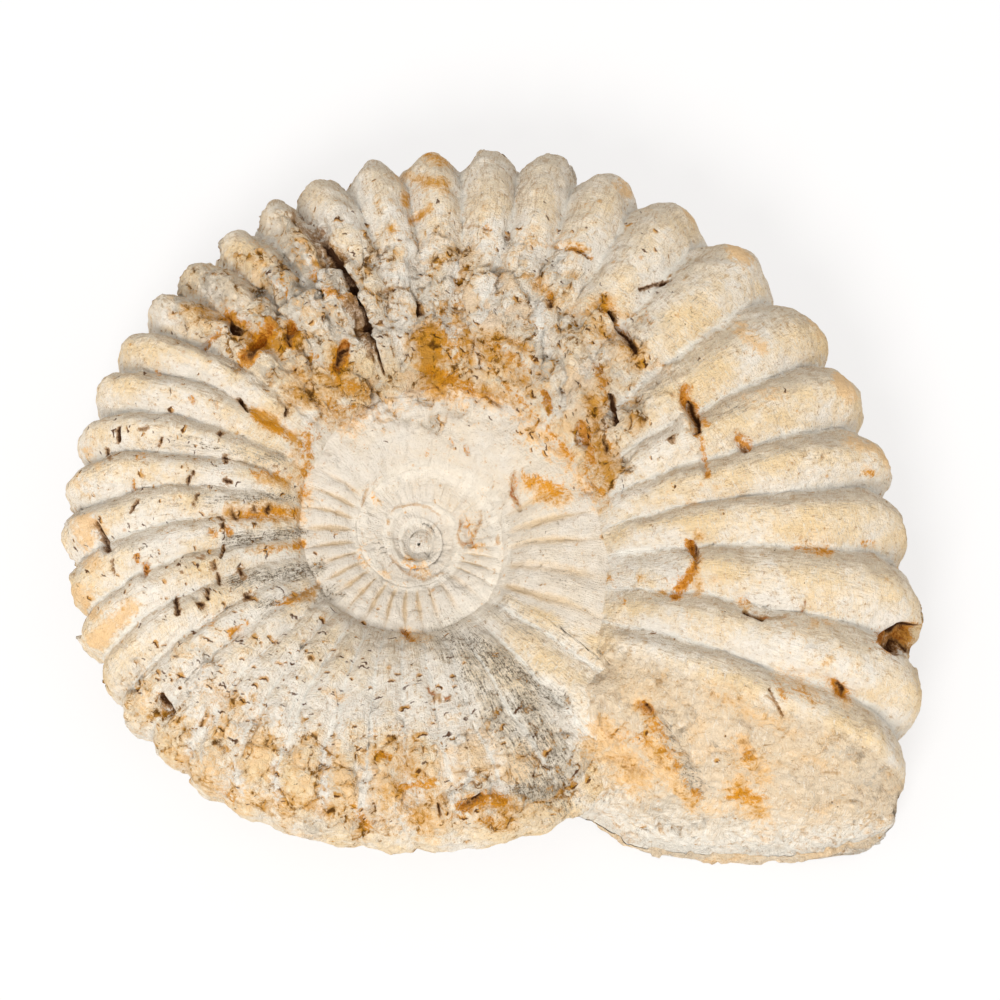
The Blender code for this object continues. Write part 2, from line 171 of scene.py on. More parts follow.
def noise(points, size, seed, octaves=1, roughness=0.5):
    """Smooth noise, about -1 to 1, over points in metres with features of the given size."""
    total = 0.0
    reach = 0.0
    for octave in range(octaves):
        scaled = points * (OCTAVE_RATIO**octave / size) + OCTAVE_SHIFT * octave
        cell = np.floor(scaled).astype(np.int64)
        f = scaled - cell
        f = f * f * f * (f * (6 * f - 15) + 10)
        value = 0.0
        for corner in range(8):
            step = np.array([corner & 1, corner >> 1 & 1, corner >> 2 & 1])
            weight = np.prod(np.where(step, f, 1 - f), -1)
            value = value + weight * lattice(*np.moveaxis(cell + step, -1, 0), seed + octave)
        total = total + roughness**octave * value
        reach += roughness**octave
    return total / reach * NOISE_GAIN


def tip_angle(ribs):
    """The angle on the outer rim of a place along the spiral, counted in ribs from the last turn's start."""
    turns = np.minimum(np.floor(ribs / RIBS_PER_TURN), 0)
    last_turn = np.interp(ribs - turns * RIBS_PER_TURN, np.arange(len(RIB_TIPS)), RIB_TIPS)
    return last_turn + turns * TURN_ANGLE


def power(value, exponent):
    return np.sign(value) * np.abs(value) ** exponent


def shrink(ribs):
    """How much smaller the coil is in the extra turn at its centre."""
    return CENTRE_SHRINK ** np.maximum(-INNER_TURNS - ribs / RIBS_PER_TURN, 0)


def shell_points(ribs, across):
    """Points of the ribbed shell from the coil's axis, and how near each is to the crests' height, which is 1
    where the ribs are worn off."""
    tip = tip_angle(ribs)
    from_rim = np.abs(1 - across)
    angle = tip + RIB_LEAN * np.clip((from_rim - 1 + RIB_STRAIGHT) / RIB_STRAIGHT, 0, 1)
    inner = curve(SEAM_RADIUS, angle) * shrink(ribs)
    outer = curve(OUTER_RADIUS, angle) * shrink(ribs)
    half_height = (outer - inner) / (1 + SECTION_INNER_REACH)
    middle = outer - half_height
    half_thickness = curve(THICKNESS, angle) / 2 * shrink(ribs)
    covered = np.where(
        angle + 360 <= SEAM_RADIUS[-1][0],
        curve(SEAM_RADIUS, angle + 360) * shrink(ribs + RIBS_PER_TURN),
        inner + LAST_COVERED_FRACTION * (outer - inner),
    )
    reach = np.clip((covered - middle) / half_height, -COVERED_LIMIT, COVERED_LIMIT)
    at_covered = np.arccos(power(reach, SECTION_POWER / 2))
    at_seam = math.acos(-(SECTION_INNER_REACH ** (SECTION_POWER / 2)))
    beyond = np.clip((from_rim - 1 + NEXT_TURN_ACROSS) / NEXT_TURN_ACROSS, 0, 1)
    within = np.clip(from_rim / (1 - NEXT_TURN_ACROSS), 0, 1)
    turn = (at_covered * within + (at_seam - at_covered) * beyond) * np.where(across > 1, -1, 1)
    x = power(np.cos(turn), 2 / SECTION_POWER)
    z = power(np.sin(turn), 2 / SECTION_POWER)
    out_x = power(x, SECTION_POWER - 1) / half_height
    out_z = power(z, SECTION_POWER - 1) / half_thickness
    length = np.hypot(out_x, out_z)
    phase = np.where(ribs < 0, np.interp(ribs, *zip(*INNER_RIBS)), ribs)
    roundness = np.where(ribs < 0, INNER_ROUNDNESS, RIB_ROUNDNESS)
    crest = (0.5 + 0.5 * np.cos(2 * math.pi * phase)) ** roundness + 0 * across
    worn = np.interp(tip, *zip(*WORN_FLANK)) * np.clip(1 - (across / WORN_REACH) ** 2, 0, 1)
    worn_rim = np.interp(tip, *zip(*WORN_RIM)) * np.clip((across - WORN_RIM_FROM) / WORN_RIM_FADE, 0, 1)
    inner_kept = curve(INNER_DEPTH_ACROSS, np.minimum(across, 2 - across))
    inner_kept = inner_kept * (1 - np.interp(tip, *zip(*WORN_INNER)))
    kept = np.where(ribs < 0, inner_kept, (1 - worn) * (1 - worn_rim))
    groove = curve(RIB_DEPTH, tip) * curve(RIB_DEPTH_ACROSS, across) * kept * (1 - crest)
    radius = middle + half_height * x - groove * out_x / length
    height = half_thickness * z - groove * out_z / length
    east = radius * np.cos(np.radians(angle))
    north = -radius * np.sin(np.radians(angle))
    level = MID_HEIGHT + MID_RISE[0] * east + MID_RISE[1] * north
    shown = kept * np.where(ribs < 0, np.clip(curve(RIB_DEPTH, tip) / FULL_DEPTH, 0, 1), 1)
    return np.stack([east, north, level + height], -1), 1 - shown * (1 - crest)


def joined(ribs, across):
    """Points of a turn whose two edges lie on the flanks of the turn before it, and their crests."""
    points, crest = shell_points(ribs, across)
    earlier = ribs - RIBS_PER_TURN
    near_upper = np.clip(1 - across / SEAM_BLEND, 0, 1)[..., None] ** 2
    near_lower = np.clip(1 - (2 - across) / SEAM_BLEND, 0, 1)[..., None] ** 2
    top = 0 * across
    to_upper = shell_points(earlier, top + NEXT_TURN_ACROSS)[0] - shell_points(ribs, top)[0]
    to_lower = shell_points(earlier, top + 2 - NEXT_TURN_ACROSS)[0] - shell_points(ribs, top + 2)[0]
    return points + near_upper * to_upper + near_lower * to_lower, crest


# The surface's grid: columns a rib in each turn from the innermost outwards, the mouth's columns, and rows
# over the top to just past the rim and on round the underside. Inner turns end a little way beneath the next
# one. The broken front face has rows of its own.
COLUMNS_PER_RIB = (6, 6, 10, 20, 32)
MOUTH_COLUMNS = 90
TOP_ROWS = 150
RIM_ROWS_END = 1.15
UNDER_ROWS = 40
COVERED_ROWS = (0.66, 1.34)
LIP_ROWS = 9
TRIANGLES = 192000

# Each turn's edges sink into the turn before it, and inwards by no more than a share of their radius.
SINK = 0.0015
SINK_INWARDS = 0.6 * SINK
MOST_INWARDS_SHARE = 0.3

# The knob at the coil's centre is highest in its middle.
KNOB_RADIUS = 0.0036
KNOB_HEIGHT = 0.0014
KNOB_FALL = 0.0011
KNOB_COLUMNS = 41
KNOB_ROWS = 10
EXTRA_CREST = 0.8
EXTRA_ACROSS = 0.5

# The mouth's stone goes on round the coil by so many ribs, and so many millimetres a column. The front face
# and the knobs have no ribs: they count as this near to a crest and this far across.
MOUTH_AROUND = 4
MOUTH_STEP_MM = 0.3


def grid_places():
    """The grid's columns, counted in ribs, and its rows, as places across the section."""
    columns = [np.array([-float(INNER_TURNS + 1) * RIBS_PER_TURN])]
    for turn, per_rib in enumerate(COLUMNS_PER_RIB):
        start = (turn - INNER_TURNS - 1) * RIBS_PER_TURN
        columns.append(start + np.arange(1, RIBS_PER_TURN * per_rib + 1) / per_rib)
    rows = np.concatenate([
        np.linspace(0, RIM_ROWS_END, TOP_ROWS), np.linspace(RIM_ROWS_END, 2, UNDER_ROWS + 1)[1:]
    ])
    return np.concatenate(columns), rows


def mouth_points(part, across, last_rib):
    """Points of the stone in the mouth, from the last rib (part 0) down to the front edge (part 1)."""
    edge = np.array(FRONT_EDGE)
    along = np.minimum(across, 2 - across)
    front = np.stack([curve(edge[:, [0, 1]], along), curve(edge[:, [0, 2]], along)], -1)
    risen = np.clip((along - FRONT_RISES_ACROSS) / (1 - FRONT_RISES_ACROSS), 0, 1)
    height = np.where(across > 1, 0, FRONT_LIP + (FRONT_RIM_HEIGHT - FRONT_LIP) * risen)
    part = part[:, None]
    points = np.empty((len(part), len(across), 3))
    points[..., :2] = last_rib[:, :2] + (front - last_rib[:, :2]) * part[..., None]
    fall = np.where(across > 1, part, part**FRONT_FALL_POWER)
    points[..., 2] = last_rib[:, 2] + (height - last_rib[:, 2]) * fall
    path = np.array(MOUTH_SEAM)
    seam = [np.interp(part, path[:, 0], path[:, k]) for k in (1, 2)]
    to_upper = shell_points(*seam)[0] - points[:, :1]
    to_lower = shell_points(seam[0], 0 * part + 2 - NEXT_TURN_ACROSS)[0] - points[:, -1:]
    reach = np.interp(part, *zip(*MOUTH_SEAM_BLEND))
    near_upper = np.clip(1 - across / reach, 0, 1)[..., None] ** 2
    near_lower = np.clip(1 - (2 - across) / SEAM_BLEND, 0, 1)[..., None] ** 2
    return points + near_upper * to_upper + near_lower * to_lower


# Marks as the camera sees them, in pixels of the square picture from its top left: an end, the way right and
# down to the other, a radius and a strength. Hollows and knobs have a depth in millimetres instead.

# Cuts that hold dirt and painted shade: an end, the way to the other, a radius and a depth, and the radius
# and strength of the dirt and painted shade.
# The first nine are the long crack's.
CUTS_WITH_DIRT_AND_SHADE = (
    (317, 238, 14, 12, 1.8, 1.2, 2, 0.8), (331, 250, 10, 17, 2, 2, 2.2, 1.1),
    (341, 267, 8, 12, 2.4, 3.2, 2.8, 1.4), (349, 279, 6, 19, 2.6, 3.8, 3, 1.5),
    (355, 298, 9, 15, 2.4, 3.8, 2.8, 1.5), (364, 313, 4, 16, 2, 3.2, 2.4, 1.4),
    (368, 329, 8, 13, 1.8, 2.8, 2.2, 1.3), (376, 342, 4, 16, 1.5, 2, 1.8, 1.1),
    (380, 358, 6, 16, 1.3, 1.2, 1.5, 0.9), (745, 611, 19, 6, 2.5, 1.2, 2, 0.9),
    (234, 324, 7, 4, 3.5, 2.2, 4, 1), (119, 428, 0, 14, 2, 1.3, 1.8, 1.2),
    (191, 472, -3, 12, 1.8, 1.1, 1.6, 1), (197, 492, -5, 14, 2, 1.1, 1.8, 1),
    (136, 500, -5, 10, 1.8, 1.1, 1.8, 1), (112, 560, 1, 14, 1.8, 1, 1.5, 0.9),
    (223, 546, -3, 10, 2, 1, 1.8, 0.9), (217, 572, 2, 10, 1.8, 1, 1.6, 0.9),
    (207, 586, 2, 10, 1.8, 1.2, 1.6, 1), (175, 600, 1, 14, 1.8, 1, 1.6, 0.9),
    (240, 400, 9, 10, 2, 1.2, 1.8, 1), (288, 408, -2, 8, 2, 1.2, 1.8, 1),
    (770, 690, 12, 28, 1.8, 0.8, 1.6, 0.7),
)
HOLLOWS = (
    (300, 222, 36, 40, 9, 1.6), (348, 304, 16, 34, 6, 1.6), (889, 640, 19, -8, 9, 5.5),
    (900, 648, 14, -16, 7, 5), (687, 388, 3, 14, 6, 2.6), (693, 404, 5, 28, 5, 2.8), (739, 440, 6, 7, 6, 2),
    (736, 430, 3, 8, 3, 1.6), (546, 293, 3, 9, 6, 2.2), (600, 300, 12, 12, 7, 1.8), (612, 312, 6, 10, 4, 3),
    (619, 328, 7, 14, 5, 3), (626, 342, 8, 12, 3, 2.4), (541, 392, 8, 16, 4, 1.8), (560, 387, 3, 5, 3, 1.4),
    (611, 395, 3, 26, 3, 2.2), (578, 425, 9, 33, 6, 1.6), (596, 364, 8, 20, 3, 1.2),
    (516, 476, -5, 15, 2.5, 1.4), (511, 491, 6, 18, 2.5, 1.2), (692, 544, 5, 14, 4, 2),
    (697, 558, -11, 22, 4, 1.5), (686, 580, -12, 16, 4, 1), (612, 560, 56, 6, 15, 1.1),
    (792, 674, 30, 4, 3, 1), (822, 678, 28, 18, 3, 1.2), (464, 808, 20, -8, 4.5, 2.6),
    (496, 796, 12, -6, 4, 1.4), (92, 524, 16, 24, 4.5, 1.6), (218, 326, -13, 19, 3, 1.6),
    (262, 338, -12, 18, 5, 2), (294, 328, -4, 16, 4, 2.2), (346, 346, -7, 20, 5, 2.2),
    (384, 248, -16, 19, 2, 1.2), (379, 294, 24, -8, 2, 1), (403, 286, 16, 8, 2, 1.2),
    (419, 294, 0, 18, 2.5, 1.6), (309, 271, 6, 15, 3.5, 1.4), (285, 288, -4, 26, 2.5, 1),
    (162, 698, 6, 14, 4, 2), (197, 594, 7, 12, 3.5, 1.8), (162, 436, -4, 10, 2.5, 1.3),
    (131, 480, 0, 10, 2, 1), (226, 525, 1, 8, 3, 1), (213, 529, -3, 5, 3, 1), (138, 556, 1, 10, 3, 1.4),
    (149, 564, -2, 10, 2.5, 1.4), (191, 396, 1, 8, 2.5, 1.2), (213, 399, 3, 9, 2, 1),
    (234, 634, 6, -8, 3, 1.4), (484, 228, 8, 2, 2, 1), (556, 247, 18, -2, 2, 1), (574, 245, 16, 11, 3, 1.6),
    (641, 290, 19, -4, 2, 1), (660, 286, 8, -5, 2, 1.2), (462, 516, 8, 29, 3, 1), (452, 440, 1, 4, 2, 1),
    (467, 446, 1, 8, 2.5, 1), (640, 706, 8, 10, 4, 1.8), (612, 690, 4, 10, 2, 1), (600, 700, 4, 6, 2, 1),
    (833, 684, 9, 10, 4, 2), (378, 752, 12, 6, 3, 1.4), (402, 632, 10, 8, 3, 1), (660, 728, 40, 62, 9, 1.6),
    (505, 790, 40, 22, 12, 1.4), (702, 440, 5, 34, 3, 1), (440, 806, 2, 10, 3, 1.2),
)
KNOBS = (
    (684, 417, 3, 4, 6, 1.8), (398, 364, 4, 4, 5, 1.2), (300, 340, 8, 6, 6, 1), (262, 320, 6, -2, 7, 0.8),
    (756, 600, 40, 6, 11, 0.8), (580, 292, 4, 8, 12, 1), (560, 330, 10, 15, 12, 1),
    (350, 300, 6, 30, 4, 1.4), (412, 566, 4, 4, 4, 0.5), (357, 421, 24, -17, 5, 0.5),
    (381, 404, 49, -11, 5, 0.5), (430, 393, 50, -3, 5, 0.4),
)
RUST = (
    (234, 313, 9, 5, 11, 1), (220, 327, -14, 17, 4, 0.8), (272, 328, -22, 28, 11, 1.3),
    (296, 326, -6, 20, 7, 1.3), (314, 355, 12, 15, 5, 0.7), (346, 344, -7, 24, 8, 1.4),
    (345, 380, 21, 4, 12, 0.6), (330, 404, 18, 2, 10, 0.6), (326, 292, 28, 6, 6, 0.9),
    (349, 251, 0, 1, 5, 0.6), (280, 281, 1, 1, 5, 0.8), (285, 288, -3, 27, 3, 0.6),
    (309, 274, 7, 12, 5, 0.8), (445, 320, 15, 65, 16, 0.55), (433, 336, 4, 14, 6, 0.9),
    (430, 372, 40, 16, 7, 0.9), (495, 345, 25, 20, 12, 0.6), (488, 368, 52, 50, 5, 0.7),
    (540, 418, 60, 72, 5, 0.6), (540, 392, 9, 18, 5, 0.9), (596, 366, 10, 34, 7, 0.7),
    (580, 426, 8, 32, 8, 0.95), (605, 425, 3, 23, 4, 0.8), (604, 303, 8, 11, 9, 0.8),
    (618, 326, 16, 28, 5, 0.9), (546, 293, 4, 9, 7, 0.8), (556, 247, 18, -2, 3, 0.6),
    (574, 246, 18, 12, 4, 1), (484, 228, 8, 3, 4, 0.9), (686, 388, 4, 14, 7, 1), (697, 404, 1, 30, 5, 1),
    (704, 418, 4, 6, 4, 0.8), (703, 438, 5, 38, 3.5, 0.8), (738, 440, 9, 7, 6, 1), (735, 429, 3, 9, 3, 0.7),
    (679, 312, 2, 2, 4, 0.8), (692, 306, 1, 1, 3, 0.6), (528, 480, 28, 10, 10, 0.7),
    (512, 480, 0, 26, 5, 0.6), (688, 542, 9, 14, 6, 1.1), (697, 556, -9, 22, 6, 1),
    (688, 578, -15, 20, 7, 1), (608, 578, 4, 4, 4, 0.8), (670, 580, 20, 2, 9, 0.5), (744, 600, 2, 2, 5, 0.9),
    (790, 545, 38, 6, 5, 0.7), (858, 543, 12, -3, 4, 0.8), (869, 472, 2, 2, 4, 0.7),
    (888, 640, 24, -6, 13, 1.1), (905, 648, 9, -18, 6, 1.2), (253, 414, 37, 24, 5, 0.75),
    (304, 446, 3, 2, 5, 0.7), (255, 475, 37, 0, 7, 0.65), (244, 514, 48, 1, 7, 0.75),
    (266, 550, 34, -2, 7, 0.65), (272, 609, 45, -21, 5, 0.7), (228, 630, 16, -8, 6, 0.7),
    (200, 624, 14, -6, 5, 0.5), (308, 420, -4, 74, 7, 0.6), (330, 415, -18, 25, 8, 0.4),
    (162, 362, 1, 1, 5, 0.8), (158, 372, 3, 2, 4, 0.8), (191, 398, 1, 6, 4, 0.7), (213, 400, 3, 8, 5, 0.6),
    (160, 440, 2, 4, 4, 0.8), (225, 526, 3, 6, 5, 0.9), (211, 531, 3, 3, 5, 0.8), (138, 557, 1, 8, 4, 1),
    (148, 565, 1, 8, 4, 1), (167, 532, 0, 6, 4, 0.5), (132, 480, 0, 10, 3, 0.8), (140, 456, 6, 0, 4, 0.6),
    (405, 632, 7, 8, 6, 0.9), (409, 565, 5, 4, 5, 0.9), (357, 554, 3, 4, 5, 0.5), (376, 496, 2, 4, 4, 0.5),
    (452, 439, 1, 5, 3, 0.8), (466, 447, 2, 6, 4, 0.8), (427, 450, 1, 1, 4, 0.6), (465, 520, 7, 24, 5, 0.6),
    (376, 754, 16, 4, 5, 0.8), (402, 786, 34, -4, 7, 0.8), (352, 806, 16, 20, 6, 0.8),
    (462, 808, 40, -7, 9, 1), (480, 822, 20, 4, 7, 0.6), (604, 736, 46, 6, 9, 0.5),
    (650, 722, 26, 46, 8, 0.6), (676, 768, 24, 32, 7, 0.6), (640, 704, 10, 12, 5, 0.9),
    (738, 796, 24, 2, 9, 0.85), (746, 754, 8, 4, 7, 0.6), (776, 684, 10, 16, 5, 0.6),
    (832, 684, 10, 10, 6, 1), (795, 690, 17, 8, 5, 0.5), (430, 152, 14, 6, 9, 0.6), (392, 229, 3, 3, 4, 0.6),
    (684, 616, 4, 2, 4, 0.6), (224, 790, 12, 10, 5, 0.7), (160, 690, 8, 22, 6, 0.5),
    (430, 816, 40, 6, 5, 0.5), (246, 746, 12, 6, 6, 0.4), (618, 596, 8, 8, 3, 0.6),
    (644, 300, 6, 20, 5, 0.5),
)
# Dark marks: dirt in cracks, pits and holes, and partly painted shade in the crack, the holes and the sunken
# strips beside the crack.
DIRT_AND_SHADE = (
    (652, 635, 1, 1, 2.4, 1), (652, 525, 1, 1, 2.4, 1), (665, 522, 1, 1, 2.2, 0.9), (673, 438, 2, 5, 2.4, 1),
    (215, 438, 4, -6, 2.2, 1.1), (141, 429, 5, -2, 2.2, 1), (224, 456, 2, 6, 2.2, 1),
    (224, 477, 4, 5, 2.2, 1.1), (254, 508, 2, 6, 2.2, 1.1), (268, 507, 0, 7, 2.2, 1),
    (253, 520, 2, 4, 2.2, 1), (272, 464, 1, 5, 2.2, 0.9), (286, 468, 2, 3, 2.2, 0.9),
    (108, 450, 0, 8, 2.2, 0.9), (170, 498, 1, 6, 2.2, 0.9), (133, 505, 6, -4, 2.2, 1),
    (219, 518, 3, 8, 2.2, 1.1), (231, 512, 4, 7, 2.2, 1), (202, 558, 2, 0, 2.8, 1.1),
    (213, 561, 2, 7, 2.4, 1.1), (181, 571, 2, 2, 2.2, 0.9), (231, 590, 1, 4, 2.2, 1.1),
    (246, 594, 2, 4, 2.2, 1), (239, 570, 4, 7, 2.2, 1.1), (177, 598, 0, 8, 2.4, 1.1),
    (179, 609, 0, 6, 2.2, 1.1), (296, 218, 40, 40, 10, 0.4), (352, 304, 20, 46, 9, 0.5),
    (260, 346, -10, 10, 4, 0.7), (292, 334, -2, 10, 3, 0.8), (345, 350, -5, 14, 3.5, 0.9),
    (696, 404, 3, 26, 2.5, 1.1), (742, 447, 6, 3, 2, 0.8), (545, 298, 5, 7, 3, 1), (613, 314, 5, 8, 3, 1.2),
    (619, 330, 15, 24, 3, 1.1), (612, 395, 2, 26, 2.5, 1.1), (561, 388, 1, 3, 2.5, 1),
    (696, 546, 4, 10, 2.2, 1), (700, 556, -7, 14, 1.6, 0.8), (904, 640, 12, -12, 4, 1.3),
    (894, 650, 14, 2, 3, 0.9), (94, 526, 13, 20, 4, 0.8), (418, 298, 2, 14, 2.5, 1.2),
    (161, 437, -2, 9, 2, 1.1), (199, 598, 4, 6, 3, 1.1), (163, 700, 5, 10, 3, 1), (466, 807, 16, -7, 3, 0.9),
    (641, 290, 27, -8, 1.8, 0.9), (577, 249, 13, 9, 2, 0.9), (484, 229, 6, 2, 1.8, 0.8),
    (642, 708, 6, 8, 2, 0.8), (836, 687, 6, 7, 2.5, 1), (604, 420, 2, 28, 1.8, 0.8),
    (440, 808, 1, 8, 2.5, 0.9), (338, 262, 14, 28, 3, 0.8),
)
# Patches of grey, peach and white stone. The grey patches in the sunken strip beside the crack and in the
# hollow of the mouth's stone are painted shade.
GREY = (
    (389, 292, 7, 4, 12, 0.6), (500, 312, 4, 10, 13, 0.55), (556, 258, 4, 4, 13, 0.55),
    (501, 232, 5, 8, 10, 0.5), (386, 215, 2, 7, 9, 0.5), (380, 290, 40, 10, 12, 0.35),
    (500, 300, 20, 40, 10, 0.4), (566, 330, 24, 20, 14, 0.4), (590, 420, 10, 30, 10, 0.4),
    (470, 200, 10, 50, 10, 0.3), (190, 280, 30, 20, 14, 0.35), (120, 450, 80, -4, 9, 0.35),
    (110, 500, 70, 6, 9, 0.35), (130, 545, 70, 7, 9, 0.35), (450, 640, 110, 160, 34, 0.65),
    (470, 640, 90, 60, 14, 0.85), (520, 700, 35, 60, 22, 0.85), (516, 796, 50, -10, 17, 1),
    (470, 650, 40, 30, 10, 0.8), (662, 728, 36, 60, 13, 0.8), (640, 330, 60, -30, 16, 0.3),
    (700, 350, 60, -15, 12, 0.3), (690, 405, 50, 0, 10, 0.5), (764, 600, 26, 6, 9, 0.45),
    (700, 440, 45, 12, 9, 0.3), (620, 500, 100, -30, 10, 0.2), (500, 520, 90, 90, 26, 0.35),
    (450, 585, 110, 55, 18, 0.4), (762, 600, 34, 8, 10, 0.4), (806, 452, 22, 8, 7, 0.4),
    (340, 470, 10, 90, 20, 0.15), (352, 300, 22, 56, 9, 0.5), (225, 540, 75, -6, 9, 0.9),
    (205, 500, 91, -3, 8, 0.8), (180, 440, 100, 20, 9, 0.6), (235, 580, 85, -12, 10, 0.9),
    (262, 604, 78, -12, 11, 0.7), (560, 290, 30, -20, 14, 0.4), (350, 190, 50, 110, 12, 0.25),
    (520, 190, 20, 70, 12, 0.3), (640, 215, 10, 45, 10, 0.3), (283, 650, 17, -10, 12, 0.35),
)
PEACH = (
    (596, 732, 40, 44, 20, 1.1), (652, 748, 22, 26, 13, 1.2), (674, 778, 22, 28, 9, 1.2),
    (740, 746, 24, 30, 14, 0.9), (738, 790, 24, 22, 13, 1.2), (640, 702, 12, 16, 7, 1),
    (838, 378, 12, 18, 8, 1), (882, 440, 12, 30, 9, 0.9), (812, 312, 12, 18, 9, 0.9),
    (732, 250, 12, 12, 9, 0.9), (688, 208, 12, 14, 8, 0.8), (740, 330, 20, 15, 12, 0.8),
    (720, 395, 60, 5, 9, 0.5), (850, 440, 30, 10, 9, 0.7), (620, 186, 12, 10, 8, 0.8),
    (78, 590, 14, 20, 9, 1), (84, 520, 16, 10, 9, 0.9), (86, 450, 10, 12, 7, 0.8), (84, 530, 8, 30, 13, 0.9),
    (82, 595, 10, 11, 14, 0.8), (98, 640, 32, -28, 12, 1), (140, 690, 10, 30, 16, 0.6),
    (180, 740, 70, 50, 26, 0.6), (250, 720, 80, 20, 26, 0.35), (300, 770, 120, 30, 26, 0.5),
    (80, 480, 10, 10, 8, 0.5), (180, 650, 60, -10, 16, 0.35), (400, 220, 70, 0, 26, 0.3),
    (640, 740, 80, 80, 30, 0.35), (780, 620, 100, 80, 18, 0.25), (620, 590, 140, 0, 12, 0.2),
    (430, 330, 90, 50, 36, 0.5), (330, 380, 90, 20, 18, 0.4), (560, 300, 40, 40, 36, 0.45),
    (280, 260, 60, 70, 34, 0.4), (400, 240, 160, 20, 50, 0.35), (540, 420, 60, 60, 26, 0.5),
    (200, 690, 40, 10, 20, 0.4), (205, 715, 40, 25, 14, 0.7), (256, 738, 24, 14, 13, 0.7),
    (292, 755, 20, 33, 12, 0.8), (332, 762, 24, 38, 14, 0.9), (370, 770, 60, 56, 16, 0.8),
)
# Along the umbilical wall at the top, the white marks are partly painted light, where the wall faces the
# lamp.
WHITE = (
    (496, 264, 13, -38, 4, 1.7), (482, 306, 14, -42, 4, 1.7), (358, 182, 0, 46, 4, 1.5),
    (411, 238, -2, 32, 3.5, 1.6), (387, 275, 26, 4, 4, 1.5), (535, 306, 8, 36, 6, 1.6),
    (473, 340, 7, 28, 4, 1.6), (458, 262, -4, 28, 3.5, 1.5), (556, 262, 10, -12, 6, 1.4),
    (328, 743, -7, 67, 4.5, 1.8), (366, 773, -7, 45, 4.5, 1.8), (203, 708, -12, 46, 4, 1.6),
    (275, 765, 6, 35, 4, 1.6), (238, 770, 3, 22, 4, 1.5), (232, 690, -18, 32, 4, 1.5),
    (452, 790, 18, -12, 7, 1.5), (344, 686, -4, 44, 3.5, 1.5), (372, 680, 0, 55, 3.5, 1.5),
    (300, 690, -12, 30, 3.5, 1.5), (268, 270, 22, 30, 4, 1.4), (300, 250, 22, 34, 4, 1.3),
    (220, 700, 220, 0, 40, 0.8), (110, 430, 190, 10, 40, 0.4), (110, 520, 140, 0, 50, 0.4),
    (130, 600, 130, 0, 40, 0.4), (350, 200, 250, 0, 50, 0.3), (340, 300, 260, -10, 50, 0.4),
    (340, 500, 120, 100, 60, 0.5), (357, 421, 24, -17, 6, 0.6), (381, 404, 99, -13, 6, 0.6),
    (615, 490, 65, -60, 18, 0.6), (625, 545, 45, -15, 10, 0.5), (656, 556, 20, 24, 14, 0.9),
    (758, 600, 36, 4, 10, 1), (612, 560, 56, 6, 15, 0.6), (640, 640, 220, 20, 20, 0.4),
    (720, 500, 140, -20, 20, 0.3), (200, 480, 100, 10, 6, 0.5), (150, 540, 90, -10, 5, 0.6),
    (345, 600, 75, 20, 30, 0.5), (560, 690, 20, 110, 9, 0.6), (790, 590, 110, 30, 12, 0.3),
    (215, 390, 45, 10, 12, 0.5), (150, 310, 20, 10, 6, 0.3), (540, 330, 5, 20, 8, 0.6),
)
